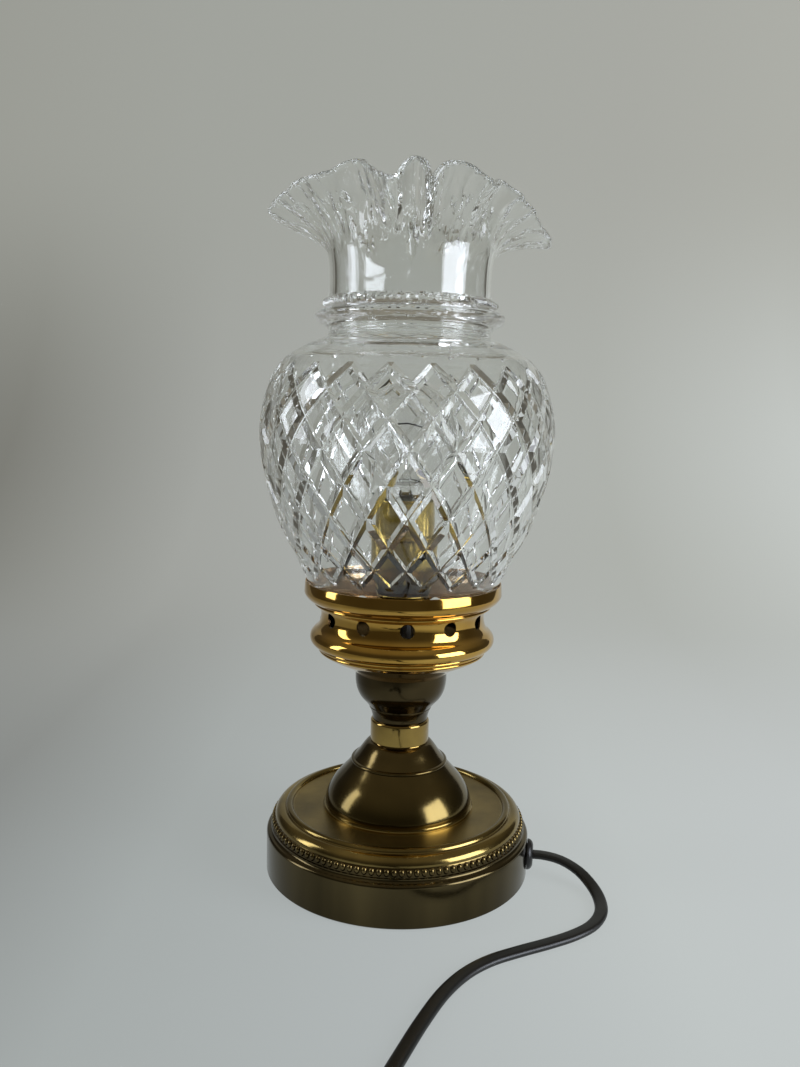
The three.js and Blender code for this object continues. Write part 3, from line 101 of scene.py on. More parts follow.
def start_material(name, **shader_inputs):
    """A new material with its shader, and the object's own coordinates for its patterns."""
    made = bpy.data.materials.new(name)
    made.use_nodes = True
    tree = made.node_tree
    tree.nodes.clear()
    shader = add(tree, "ShaderNodeBsdfPrincipled", inputs=shader_inputs)
    add(tree, "ShaderNodeOutputMaterial", links={"Surface": shader.outputs["BSDF"]})
    place = add(tree, "ShaderNodeTexCoord").outputs["Object"]
    return made, tree, shader, place


def grain_of(tree, place, scale, detail):
    """Irregular grain in the object's own space, from 0 to 1."""
    values = {"Scale": scale, "Detail": detail}
    return add(tree, "ShaderNodeTexNoise", {"Vector": place}, values).outputs["Fac"]


def ranged(tree, value, limits, **settings):
    """A value moved from one range to another; limits not named are 0 and 1."""
    return add(tree, "ShaderNodeMapRange", {"Value": value}, limits, **settings).outputs["Result"]


def roughen(tree, shader, grain, low, high):
    """Lets the gloss wander with the grain between two roughnesses."""
    gloss = ranged(tree, grain, {"To Min": low, "To Max": high})
    tree.links.new(gloss, shader.inputs["Roughness"])


def emboss(tree, shader, grain, strength, distance):
    """Raises the surface a little where the grain is high."""
    values = {"Strength": strength, "Distance": distance}
    bump = add(tree, "ShaderNodeBump", {"Height": grain}, values)
    tree.links.new(bump.outputs["Normal"], shader.inputs["Normal"])


def flex_sheath():
    """Extruded PVC: nearly smooth, with a faint long waviness that breaks up its sheen."""
    made, tree, shader, place = start_material(
        "flex_sheath", **{"Base Color": linear("#121211"), "IOR": 1.52}
    )
    wave = grain_of(tree, place, 180.0, 3.0)
    roughen(tree, shader, wave, 0.3, 0.46)
    emboss(tree, shader, wave, 0.25, 0.0002)
    return made


flex_black = flex_sheath()
flex_width = 5.5 * mm
flex_thickness = 2.8 * mm


def shown(name, mesh, smooth_below):
    """The mesh as an object at the origin, smooth where its faces meet gently."""
    mesh.polygons.foreach_set("use_smooth", [True] * len(mesh.polygons))
    mesh.set_sharp_from_angle(angle=math.radians(smooth_below))
    made = bpy.data.objects.new(name, mesh)
    scene.collection.objects.link(made)
    return made


def plain_mesh(name, points, faces, material, smooth_below=30.0):
    """A piece made of points in metres and the faces between them."""
    mesh = bpy.data.meshes.new(name)
    mesh.from_pydata([tuple(p) for p in points], [], faces)
    mesh.validate()
    mesh.materials.append(material)
    return shown(name, mesh, smooth_below)


def start_tree(name, inputs):
    """A new geometry tree with its named inputs, and the sockets that give their values."""
    tree = bpy.data.node_groups.new(name, "GeometryNodeTree")
    sockets = {"Geometry": "Geometry", **inputs, "Material": "Material"}
    for title, kind in sockets.items():
        tree.interface.new_socket(title, in_out="INPUT", socket_type="NodeSocket" + kind)
    tree.interface.new_socket("Geometry", in_out="OUTPUT", socket_type="NodeSocketGeometry")
    return tree, add(tree, "NodeGroupInput").outputs


def end_tree(tree, shape, material):
    """Gives the tree's shape its material and hands it on."""
    dressed = add(tree, "GeometryNodeSetMaterial", {"Geometry": shape, "Material": material})
    add(tree, "NodeGroupOutput", {"Geometry": dressed.outputs["Geometry"]})
    return tree


def flex_tree():
    """Sweeps the flat section along the curve that carries it, lying as its tilt says."""
    tree, given = start_tree("flex sweep", {"Width": "Float", "Thickness": "Float"})
    section = add(
        tree,
        "GeometryNodeCurvePrimitiveQuadrilateral",
        {"Width": given["Width"], "Height": given["Thickness"]},
    )
    half = add(
        tree, "ShaderNodeMath", {0: given["Thickness"]}, {1: 0.499}, operation="MULTIPLY"
    )
    rounded = add(
        tree,
        "GeometryNodeFilletCurve",
        {"Curve": section.outputs["Curve"], "Radius": half.outputs[0]},
        {"Count": 5},
        mode="POLY",
    )
    swept = add(
        tree,
        "GeometryNodeCurveToMesh",
        {"Curve": given["Geometry"], "Profile Curve": rounded.outputs["Curve"]},
        {"Fill Caps": True},
    )
    whole = add(tree, "GeometryNodeRealizeInstances", {"Geometry": swept.outputs["Mesh"]})
    return end_tree(tree, whole.outputs["Geometry"], given["Material"])


flex_sweep = flex_tree()


def fit_tree(carrier, tree, values):
    """Puts a node tree on an object, with its inputs set by identifier."""
    modifier = carrier.modifiers.new("shape", "NODES")
    modifier.node_group = tree
    for item in tree.interface.items_tree:
        if item.in_out == "INPUT" and item.name in values:
            modifier[item.identifier] = values[item.name]


def baked(carrier, name, smooth_below=30.0):
    """What the carrier's modifiers make of it, as a plain mesh object; the carrier goes."""
    bpy.context.view_layer.update()
    seen = bpy.context.evaluated_depsgraph_get()
    mesh = bpy.data.meshes.new_from_object(carrier.evaluated_get(seen), depsgraph=seen)
    mesh.name = name
    bpy.data.objects.remove(carrier)
    return shown(name, mesh, smooth_below)


def smooth_route(points, step):
    """A centripetal curve through the points, cut into even steps."""
    ends = [points[0] * 2 - points[1], *points, points[-1] * 2 - points[-2]]
    fine = []
    for a, b, c, d in zip(ends, ends[1:], ends[2:], ends[3:]):
        t1 = (b - a).length ** 0.5
        t2 = t1 + (c - b).length ** 0.5
        t3 = t2 + (d - c).length ** 0.5
        for i in range(12):
            t = t1 + (t2 - t1) * i / 12
            one = a.lerp(b, t / t1)
            two = b.lerp(c, (t - t1) / (t2 - t1))
            three = c.lerp(d, (t - t2) / (t3 - t2))
            low = one.lerp(two, t / t2)
            high = two.lerp(three, (t - t1) / (t3 - t1))
            fine.append(low.lerp(high, (t - t1) / (t2 - t1)))
    fine.append(points[-1])
    length = sum((b - a).length for a, b in zip(fine, fine[1:]))
    count = max(2, round(length / step))
    even = [fine[0]]
    walked = 0.0
    for a, b in zip(fine, fine[1:]):
        reach = (b - a).length
        while len(even) < count and walked + reach >= length * len(even) / count:
            even.append(a.lerp(b, (length * len(even) / count - walked) / reach))
        walked += reach
    even.append(fine[-1])
    return even, length


def lay_flex(name, path, roll=(0.0, 0.0)):
    """Flex along a path; roll says how far its flat side stands up at either end."""
    curve = bpy.data.curves.new(name, "CURVE")
    curve.dimensions = "3D"
    curve.twist_mode = "Z_UP"
    spline = curve.splines.new("POLY")
    spline.points.add(len(path) - 1)
    for i, point in enumerate(path):
        share = i / (len(path) - 1)
        eased = min(max((share - 0.1) / 0.8, 0.0), 1.0)
        eased = eased * eased * (3 - 2 * eased)
        spline.points[i].co = (*point, 1.0)
        spline.points[i].tilt = math.radians(roll[0] + (roll[1] - roll[0]) * eased)
    carrier = bpy.data.objects.new(name, curve)
    scene.collection.objects.link(carrier)
    values = {"Width": flex_width, "Thickness": flex_thickness, "Material": flex_black}
    fit_tree(carrier, flex_sweep, values)
    return baked(carrier, name, 50.0)


def claim(piece, body, node):
    """Hangs the piece on the body it rides on, and hides the frame's solid that it stands for."""
    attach(piece, body)
    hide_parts(node)


# The first stretch leaves the bushing on the right, comes down to the table and sweeps round
# the front of the base to the in-line switch. Its points are the ones of the frame.
flex_angle = math.radians(-9.0)
flex_height = 9.7
bushing_face = 59.15
flex_rest = 1.5
joint_gap = 0.3
switch_x = -6.0
switch_near = -167.7
switch_far = -220.3
switch_flex_height = 7.0


def on_flex_axis(distance):
    return (distance * math.cos(flex_angle), distance * math.sin(flex_angle), flex_height)


run_points = [
    on_flex_axis(bushing_face + joint_gap),
    on_flex_axis(67),
    (73.5, -12.6, 8.6), (80.5, -17.0, 6.0), (85.2, -24.6, 3.0),
    (86.6, -34.0, flex_rest + 0.2), (85.0, -44.0, flex_rest), (79.6, -53.6, flex_rest),
    (71.0, -61.0, flex_rest), (60.0, -67.4, flex_rest), (48.0, -73.4, flex_rest),
    (36.0, -80.2, flex_rest), (26.6, -88.6, flex_rest), (18.2, -100.4, flex_rest),
    (10.2, -116.8, flex_rest), (1.9, -137.0, flex_rest), (-3.0, -150.6, flex_rest + 1.0),
    (-5.7, -158.0, 4.4), (switch_x, switch_near + 2.75, switch_flex_height),
    (switch_x, switch_near, switch_flex_height),
]
flex_step = 3.0 * mm
run_path, run_length = smooth_route([Vector(p) * mm for p in run_points], flex_step)
flex_run = lay_flex("flex_run", run_path)
claim(flex_run, "lamp", "cord_run")

# The rest is wound on edge into a coil of two layers, in along the table and out again above,
# with a short stretch from the switch to it and another from it to the plug.
coil_middle = 32.0
coil_turns = 7.5
coil_pitch = 3.35
coil_layer_pitch = 6.3
coil_dip = 4.2
coil_inner = coil_middle - coil_pitch * coil_turns / 4
coil_outer = coil_inner + coil_pitch * coil_turns / 2
coil_x = switch_x - coil_outer
coil_y = -262.0
coil_rest = 2.85
coil_steps = 48
tail_x = coil_x - coil_outer
plug_y = -221.0
plug_flex_height = 6.8
end_run = 5.5

coil_path = [Vector((switch_x, coil_y + end_run, coil_rest)) * mm]
for i in range(round(coil_turns * coil_steps) + 1):
    along = (i / coil_steps - coil_turns / 2) * 2 * math.pi
    share = min(max(along / math.pi + 0.5, 0.0), 1.0)
    climb = share**3 * (6 * share**2 - 15 * share + 10)
    radius = coil_inner + coil_pitch * abs(along) / (2 * math.pi)
    if abs(along) < math.pi / 2:
        radius -= coil_dip * math.cos(along) ** 2
    turned_by = -2 * math.pi * i / coil_steps
    coil_path.append(
        Vector(
            (
                coil_x + radius * math.cos(turned_by),
                coil_y + radius * math.sin(turned_by),
                coil_rest + coil_layer_pitch * climb,
            )
        )
        * mm
    )
coil_path.append(Vector((tail_x, coil_y + end_run, coil_rest + coil_layer_pitch)) * mm)

link_points = [
    (switch_x, switch_far, switch_flex_height),
    (switch_x, switch_far - 2.75, switch_flex_height),
    (switch_x + 0.6, switch_far - 14, 4.6),
    (switch_x + 0.4, switch_far - 24, coil_rest + 0.4),
    (switch_x, coil_y + 1.5 * end_run + joint_gap, coil_rest),
    (switch_x, coil_y + end_run + joint_gap, coil_rest),
]
tail_points = [
    (tail_x, coil_y + end_run + joint_gap, coil_rest + coil_layer_pitch),
    (tail_x, coil_y + 1.5 * end_run, coil_rest + coil_layer_pitch),
    (tail_x - 0.6, coil_y + 19, 6.6), (tail_x - 0.4, plug_y - 12, 5.4),
    (tail_x, plug_y - 2.75, plug_flex_height),
    (tail_x, plug_y - joint_gap, plug_flex_height),
]
link_path, link_length = smooth_route([Vector(p) * mm for p in link_points], flex_step)
tail_path, tail_length = smooth_route([Vector(p) * mm for p in tail_points], flex_step)
flex_link = lay_flex("flex_link", link_path, (0.0, 90.0))
flex_coil = lay_flex("flex_coil", coil_path, (90.0, 90.0))
flex_tail = lay_flex("flex_tail", tail_path, (90.0, 0.0))
claim(flex_link, "lamp", "cord_link")
claim(flex_coil, "lamp", "cord_coil")
claim(flex_tail, "lamp", "cord_tail")


# Base shell: spun from sheet brass and finished with an antique lacquer. A tall skirt, a ledge,
# a pearled band, a big quarter round and a small bead round the disc.
def arc(centre_r, centre_z, radius, start, end, steps):
    """Points of a round stretch of an outline, by angles in degrees."""
    angles = [math.radians(start + (end - start) * i / steps) for i in range(steps + 1)]
    return [(centre_r + radius * math.cos(a), centre_z + radius * math.sin(a)) for a in angles]


def eased(points, steps):
    """A smooth run through a few points of an outline."""
    flat = [Vector((r, z, 0.0)) for r, z in points]
    length = sum((b - a).length for a, b in zip(flat, flat[1:]))
    path, _ = smooth_route(flat, length / steps)
    return [(p.x, p.y) for p in path]


def turned_mesh(name, outline, material, sides=160, smooth_below=30.0):
    """Turns an outline of (radius, height) in millimetres round the axis."""
    points = []
    rings = []
    for r, z in outline:
        count = 1 if r == 0 else sides
        rings.append(list(range(len(points), len(points) + count)))
        for i in range(count):
            a = 2 * math.pi * i / sides
            points.append(Vector((r * math.cos(a), r * math.sin(a), z)) * mm)
    faces = []
    pairs = list(zip(rings, rings[1:]))
    if outline[0][0] != 0:
        pairs.append((rings[-1], rings[0]))
    for low, high in pairs:
        for i in range(sides):
            j = (i + 1) % sides
            lower = [low[i % len(low)], low[j % len(low)]]
            upper = [high[j % len(high)], high[i % len(high)]]
            unique = list(dict.fromkeys(lower + upper))
            if len(unique) > 2:
                faces.append(unique)
    return plain_mesh(name, points, faces, material, smooth_below)


def toned(tree, share, stops):
    """A colour that runs through the stops, each a place from 0 to 1 and an sRGB colour."""
    ramp = add(tree, "ShaderNodeValToRGB", {"Fac": share})
    ends = ramp.color_ramp.elements
    ends[0].position, ends[1].position = stops[0][0], stops[-1][0]
    ends[0].color, ends[1].color = linear(stops[0][1]), linear(stops[-1][1])
    for position, colour in stops[1:-1]:
        ramp.color_ramp.elements.new(position).color = linear(colour)
    return ramp.outputs["Color"]


def antique_brass(name, rough_low, rough_high):
    """Brass under antique lacquer: glossy olive brown. Its tone by height is partly patina and partly
    painted light: darkest on the bell and the cup, where painted shade stands for the dim room they
    mirror, and lightest on the upper quarter round and the disc, painted light where they face up.
    It is clouded in soft upright patches, partly uneven lacquer and partly painted reflection streaks."""
    made, tree, shader, place = start_material(
        name, **{"Metallic": 1.0, "Coat Weight": 0.08, "Coat Roughness": 0.05, "Coat IOR": 1.5}
    )
    # painted reflection: the soft upright clouds are partly uneven lacquer and partly painted streaks that
    # stand for the window and room mirrored in the skirt
    upright = add(
        tree,
        "ShaderNodeMapping",
        {"Vector": place},
        {"Scale": (1.0, 1.0, 0.15), "Location": (0.02, 0.0, 0.0)},
    )
    cloud = grain_of(tree, upright.outputs["Vector"], 34.0, 3.0)
    limits = {"From Min": 0.34, "From Max": 0.68, "To Min": 0.55, "To Max": 1.2}
    lacquer_and_painted_streaks = ranged(tree, cloud, limits)
    height = add(tree, "ShaderNodeSeparateXYZ", {"Vector": place}).outputs["Z"]
    # painted light: this tone by height is partly patina and partly painted, light on the upward faces of
    # the quarter round and the disc, dark on the bell and the cup as painted shade for the room they
    # mirror
    patina_and_painted_light = toned(
        tree,
        ranged(tree, height, {"From Min": 0.0, "From Max": 0.1}),
        (
            (0.0, "#4A4029"),
            (0.19, "#5E5236"),
            (0.215, "#55492F"),
            (0.245, "#7C6A40"),
            (0.262, "#9A844D"),
            (0.29, "#9A844D"),
            (0.31, "#61532F"),
            (0.58, "#5C4E2F"),
            (0.69, "#483D27"),
            (1.0, "#483D27"),
        ),
    )
    tone = add(
        tree,
        "ShaderNodeMix",
        {"A": patina_and_painted_light, "B": lacquer_and_painted_streaks},
        {"Factor": 1.0},
        data_type="RGBA",
        blend_type="MULTIPLY",
    )
    tree.links.new(tone.outputs["Result"], shader.inputs["Base Color"])
    grain = grain_of(tree, place, 900.0, 4.0)
    roughen(tree, shader, grain, rough_low, rough_high)
    emboss(tree, shader, grain, 0.08, 0.0001)
    return made


brass_antique = antique_brass("antique_lacquered_brass", 0.1, 0.22)
skirt_radius = 59.0
skirt_top = 19.0
band_bottom = 20.8
band_top = 24.6
band_radius = 56.5
round_radius = 4.0
round_centre = 51.3
rim_bead = 1.7
rim_bead_centre = 48.9
disc_top = 28.4
disc_edge = 46.8
shell_wall = 1.0
rod_hole = 5.2
shell_outline = [
    (skirt_radius - 0.25, 0.6), (skirt_radius, 0.9),
    *arc(skirt_radius - 1.5, skirt_top - 1.5, 1.5, 0, 80, 6),
    *eased([(57.3, 19.15), (56.75, 19.7), (56.6, 20.5)], 4),
    (band_radius - 0.5, band_bottom), (band_radius - 0.9, band_top - 0.5),
    (band_radius - 1.1, band_top),
    *arc(round_centre, band_top, round_radius, 0, 88, 14),
    (50.9, 28.45),
    *arc(rim_bead_centre, disc_top, rim_bead, 10, 178, 12),
    (disc_edge, disc_top), (rod_hole, disc_top), (rod_hole, disc_top - shell_wall),
    (round_centre, disc_top - shell_wall),
    *arc(round_centre, band_top, round_radius - shell_wall, 90, 0, 4),
    (band_radius - 2.0, band_bottom), (skirt_radius - shell_wall, skirt_top - 2.4),
    (skirt_radius - shell_wall, 0.6),
]
base = turned_mesh("base_spun_shell", shell_outline, brass_antique, 200)
base.data.materials.append(antique_brass("antique_brushed_brass", 0.32, 0.44))
for face in base.data.polygons:
    if face.normal.z > 0.99 and math.hypot(face.center.x, face.center.y) < (disc_edge - 0.1) * mm:
        face.material_index = 1
claim(base, "lamp", "base_shell")


# Pearl band: small upright pearls rolled into the brass, side by side right round the ledge, a
# little longer than they are wide. They belong to the base's shell.
def ring_of(tree, count, radius, instance, axis, scale=None, **facing_settings):
    """Instances on the points of a ring, each turned to face outwards, as real geometry."""
    ring = add(tree, "GeometryNodeMeshCircle", {"Vertices": count, "Radius": radius})
    facing = add(
        tree,
        "FunctionNodeAlignEulerToVector",
        {"Vector": add(tree, "GeometryNodeInputPosition").outputs["Position"]},
        axis=axis,
        **facing_settings,
    )
    given = {
        "Points": ring.outputs["Mesh"],
        "Instance": instance,
        "Rotation": facing.outputs["Rotation"],
    }
    if scale:
        given["Scale"] = scale
    stood = add(tree, "GeometryNodeInstanceOnPoints", given).outputs["Instances"]
    return add(tree, "GeometryNodeRealizeInstances", {"Geometry": stood}).outputs["Geometry"]


def pearl_tree():
    """Pearls stood on the points of a ring, each as long as the band is high."""
    tree, given = start_tree(
        "pearl band", {"Pearls": "Int", "Radius": "Float", "Height": "Float", "Pearl Size": "Vector"}
    )
    ball = {"Segments": 12, "Rings": 8, "Radius": 1.0}
    pearl = add(tree, "GeometryNodeMeshUVSphere", inputs=ball).outputs["Mesh"]
    whole = ring_of(
        tree, given["Pearls"], given["Radius"], pearl, "X", given["Pearl Size"], pivot_axis="Z"
    )
    lift = add(tree, "ShaderNodeCombineXYZ", {"Z": given["Height"]})
    raised = add(
        tree, "GeometryNodeSetPosition", {"Geometry": whole, "Offset": lift.outputs["Vector"]}
    )
    return end_tree(tree, raised.outputs["Geometry"], given["Material"])


def from_tree(name, tree, values, smooth_below=30.0):
    """A piece that a node tree makes out of nothing but its inputs."""
    carrier = bpy.data.objects.new(name, bpy.data.meshes.new(name))
    scene.collection.objects.link(carrier)
    fit_tree(carrier, tree, values)
    return baked(carrier, name, smooth_below)


pearl_count = 115
pearls = from_tree(
    "base_pearls",
    pearl_tree(),
    {
        "Pearls": pearl_count,
        "Radius": (band_radius - 0.8) * mm,
        "Height": (band_bottom + band_top) / 2 * mm,
        "Pearl Size": (1.15 * mm, 1.25 * mm, 1.75 * mm),
        "Material": brass_antique,
    },
    60.0,
)
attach(pearls, "lamp")

# Bell and cup: spun from the same brass as the base, the bell with a turned bead where its
# convex skirt ends and its hollow flare begins.
bell_top = 58.5
bell_outline = [
    (33.7, disc_top), (33.7, 29.2), (33.4, 29.5), (32.8, 29.6),
    *eased(
        [(32.7, 29.9), (32.9, 31.2), (32.3, 33.8), (30.9, 37.0), (28.3, 41.0), (24.0, 45.8), (21.3, 48.9)],
        28,
    ),
    *arc(20.8, 49.6, 0.75, -70, 70, 6),
    *eased([(20.3, 50.4), (18.2, 53.0), (15.9, 56.2), (14.4, 57.9), (13.6, 58.4)], 12),
    (13.3, bell_top), (rod_hole, bell_top), (rod_hole, bell_top - 1),
    (13.5, bell_top - 1.2), (19.0, 50.0), (29.6, 35.0), (31.0, 31.0), (32.6, disc_top),
]
bell = turned_mesh("bell_spun", bell_outline, brass_antique)
claim(bell, "lamp", "bell_riser")

cup_bottom = 68.8
cup_top = 90.5
cup_outline = [
    (rod_hole, cup_bottom), (12.2, cup_bottom),
    *eased([(12.3, 69.0), (12.5, 70.4), (13.1, 72.4), (13.6, 73.7)], 8),
    (13.9, 74.0), (13.9, 74.5),
    *eased([(14.1, 74.8), (15.6, 76.6), (18.0, 79.3), (19.5, 82.4), (20.2, 86.0), (20.3, 88.4)], 22),
    (20.2, cup_top), (19.2, cup_top), (19.2, 86.0), (17.2, 80.0), (13.0, 74.8),
    (11.3, 70.0), (rod_hole, 69.8),
]
cup = turned_mesh("stem_cup_spun", cup_outline, brass_antique)
claim(cup, "lamp", "stem_cup")


# Neck ring: turned from brass bar and polished bright, with straight sides and softened edges.
# The hollow rod clamps it between the bell and the cup.
def polished_brass(name, tone_low, tone_high, rough_low, rough_high):
    """Buffed brass: mirror bright, with the faint smears that a cloth leaves."""
    made, tree, shader, place = start_material(
        name, **{"Metallic": 1.0, "Coat Weight": 0.25, "Coat Roughness": 0.03}
    )
    cloud = grain_of(tree, place, 60.0, 4.0)
    tone = toned(tree, cloud, ((0.32, tone_low), (0.7, tone_high)))
    tree.links.new(tone, shader.inputs["Base Color"])
    roughen(tree, shader, grain_of(tree, place, 320.0, 3.0), rough_low, rough_high)
    return made


brass_polished = polished_brass("polished_brass", "#957B41", "#AD914D", 0.08, 0.18)
ring_outline = [
    (rod_hole, bell_top), (12.9, bell_top),
    *arc(12.6, 59.1, 0.5, -60, 0, 3),
    (13.1, 66.4),
    *arc(11.8, 67.4, 1.3, 0, 70, 6),
    (rod_hole, cup_bottom),
]
ring = turned_mesh("neck_ring_turned", ring_outline, brass_polished)
claim(ring, "lamp", "neck_ring")

# Gallery: spun and pierced from thin sheet, polished and lacquered to a warm gold. Twelve
# punched holes in its waist let air in to the bulb.
brass_gold = polished_brass("gold_lacquered_brass", "#B98F3E", "#CFA652", 0.05, 0.12)
gallery_outline = [
    (rod_hole, cup_top), (20.3, cup_top),
    *eased([(20.9, 91.0), (24.0, 93.4), (29.4, 96.1), (34.0, 98.3), (36.2, 99.8)], 12),
    *arc(36.1, 100.6, 0.75, -60, 60, 5),
    (36.5, 101.3),
    *arc(36.6, 102.2, 0.9, -50, 60, 5),
    *eased(
        [(37.6, 103.0), (39.4, 103.5), (40.4, 104.8), (40.65, 106.4), (40.2, 108.0), (38.9, 109.6)],
        16,
    ),
    *eased(
        [(38.5, 109.9), (37.2, 111.2), (36.3, 113.4), (35.95, 116.4), (36.2, 118.6), (37.3, 120.5)],
        14,
    ),
    (38.6, 120.9),
    *arc(38.5, 121.5, 0.6, -60, 60, 4),
    (39.3, 122.2),
    *eased([(39.6, 122.4), (41.0, 123.2), (42.4, 124.4), (43.2, 125.7)], 8),
    (43.4, 126.4), (43.35, 127.2), (43.1, 130.7), (42.9, 131.2), (42.6, 131.2),
    (42.5, 130.6), (42.5, 126.4),
    *eased(
        [(42.2, 125.7), (40.4, 124.2), (38.3, 122.8), (36.9, 121.4), (35.3, 118.9), (35.0, 116.4)],
        14,
    ),
    *eased(
        [(35.1, 114.6), (36.0, 112.0), (38.0, 109.6), (39.5, 107.4), (39.4, 105.2), (37.0, 103.6)],
        14,
    ),
    *eased([(35.6, 101.6), (33.4, 99.2), (28.8, 97.0), (23.4, 94.2), (20.3, 91.5)], 8),
    (rod_hole, 91.4),
]
gallery = turned_mesh("gallery_spun", gallery_outline, brass_gold, 240)


def hole_tree():
    """Pins set round the axis, pointing outwards, with which the holes are punched."""
    tree, given = start_tree(
        "gallery punches", {"Holes": "Int", "Waist Radius": "Float", "Hole Radius": "Float"}
    )
    pin = add(
        tree,
        "GeometryNodeMeshCylinder",
        {"Radius": given["Hole Radius"]},
        {"Vertices": 28, "Depth": 0.012},
    )
    whole = ring_of(tree, given["Holes"], given["Waist Radius"], pin.outputs["Mesh"], "Z")
    return end_tree(tree, whole, given["Material"])


punches = from_tree(
    "gallery_punches",
    hole_tree(),
    {
        "Holes": 12,
        "Waist Radius": 36.0 * mm,
        "Hole Radius": 3.1 * mm,
        "Material": brass_gold,
    },
)
first_hole = math.radians(3.5 - 90.0)
hole_height = 116.6
punches.data.transform(
    Matrix.Translation((0.0, 0.0, hole_height * mm)) @ Matrix.Rotation(first_hole, 4, "Z")
)
punching = gallery.modifiers.new("punching", "BOOLEAN")
punching.operation = "DIFFERENCE"
punching.solver = "EXACT"
punching.object = punches
gallery = baked(gallery, "gallery_spun")
bpy.data.objects.remove(punches)


def raw_brass():
    """Brass as it left the spinning lathe, with light and shade painted in by height: pale at the top
    where light falls in, dark at the waist and below as painted shade.
    """
    made, tree, shader, place = start_material("raw_spun_brass", **{"Metallic": 1.0, "Roughness": 0.2})
    height = add(tree, "ShaderNodeSeparateXYZ", {"Vector": place}).outputs["Z"]
    # painted light and shade: pale near the gallery's top, dark at the waist and below, where little light
    # reaches
    painted_light_and_shade = toned(
        tree,
        ranged(tree, height, {"From Min": 0.1, "From Max": 0.13}),
        ((0.0, "#54452C"), (0.32, "#382A1B"), (0.5, "#463521"), (0.7, "#8F6F4C"), (1.0, "#C6AC88")),
    )
    tree.links.new(painted_light_and_shade, shader.inputs["Base Color"])
    return made


gallery.data.materials.append(raw_brass())
for face in gallery.data.polygons:
    outward = Vector((face.center.x, face.center.y, 0.0)).normalized()
    if face.normal.dot(outward) < 0 and face.center.z > (cup_top + 0.5) * mm:
        face.material_index = 1
claim(gallery, "lamp", "gallery")


# Glass shade: hand-blown clear glass. The jar is mitre cut all round on a wheel into 22
# diamonds and acid polished; the neck has a swelling and a row of fine beads, and the hot rim
# was pinched by hand into a ruffle.
def clear_glass(name, tint, bending):
    """Polished lead glass: colourless, with a very slight waviness left from blowing."""
    made, tree, shader, place = start_material(
        name,
        **{
            "Base Color": linear(tint),
            "Transmission Weight": 1.0,
            "IOR": bending,
            "Roughness": 0.0,
        },
    )
    emboss(tree, shader, grain_of(tree, place, 55.0, 2.0), 0.02, 0.001)
    return made


glass_cut = clear_glass("cut_crystal", "#FDFEFD", 1.52)
diamonds = 22
first_column = math.radians(1.28)
cut_depth = 1.4
cut_share = 0.155
cut_floor = 0.014
cuts_top = 222.7
cut_drops = [0, 9.0, 19.7, 31.9, 45.2, 58.2, 70.5, 80.4, 87.4]
cut_rows = [cuts_top - drop for drop in cut_drops]
above_cuts = 228.6
below_cuts = 129.6
cut_grid = 9
shade_foot = 125.8
shade_foot_radius = 41.3
glass_wall = 3.2
widest_height = 196.4
jar_outline = [
    (40.6, 127.0), (42.3, 132.0), (47.1, 142.0), (54.0, 155.3), (58.3, 167.1),
    (62.0, 183.1), (63.1, widest_height), (62.0, 206.0), (57.8, 219.1), (52.5, 226.5),
    (47.3, 230.0), (41.6, 233.0), (36.6, 235.2), (34.5, 236.4),
]
jar_curve = eased(jar_outline, 400)


def jar_radius(z):
    """The jar's radius before cutting, at a height in millimetres."""
    for (r0, z0), (r1, z1) in zip(jar_curve, jar_curve[1:]):
        if z1 >= z:
            return r0 + (r1 - r0) * (z - z0) / (z1 - z0)
    return jar_curve[-1][0]


class Skin:
    """Vertices shared by place, and the faces between them."""

    def __init__(self):
        self.points = []
        self.faces = []
        self.known = {}

    def vertex(self, place):
        key = tuple(round(c, 4) for c in place)
        if key not in self.known:
            self.known[key] = len(self.points)
            self.points.append(Vector(place) * mm)
        return self.known[key]

    def polar(self, radius, angle, z):
        return self.vertex((radius * math.sin(angle), -radius * math.cos(angle), z))

    def face(self, *corners):
        unique = list(dict.fromkeys(corners))
        if len(unique) > 2:
            self.faces.append(unique)

    def band(self, lower, upper):
        for i in range(len(lower)):
            j = (i + 1) % len(lower)
            self.face(lower[i], lower[j], upper[j], upper[i])

    def doubling(self, few, many):
        """A band from one ring up to another with twice as many vertices."""
        for i in range(len(few)):
            left, middle, right = many[2 * i], many[2 * i + 1], many[(2 * i + 2) % len(many)]
            j = (i + 1) % len(few)
            self.face(few[i], middle, left)
            self.face(few[i], few[j], middle)
            self.face(few[j], right, middle)

    def halving(self, many, few):
        """The same from the finer ring down to the coarser one."""
        for i in range(len(few)):
            left, middle, right = many[2 * i], many[2 * i + 1], many[(2 * i + 2) % len(many)]
            j = (i + 1) % len(few)
            self.face(left, middle, few[i])
            self.face(middle, few[j], few[i])
            self.face(middle, right, few[j])


shade_skin = Skin()
half_column = math.pi / diamonds
inner_lines = [
    cut_share + (1 - 2 * cut_share) * i / (cut_grid - 4) for i in range(cut_grid - 3)
]
lines = [0.0, cut_floor, *inner_lines, 1 - cut_floor, 1.0]


def cut_vertex(column, z, depth):
    radius = jar_radius(z)
    depth = depth * radius / jar_radius(widest_height)
    slope = (jar_radius(z + 1) - jar_radius(z - 1)) / 2
    lean = 1 / math.hypot(1, slope)
    return shade_skin.polar(
        radius - depth * lean, first_column + column * half_column, z + depth * slope * lean
    )


def row_height(row):
    if row < 0:
        return above_cuts
    if row >= len(cut_rows):
        return below_cuts
    return cut_rows[row]


last_row = len(cut_rows) - 1


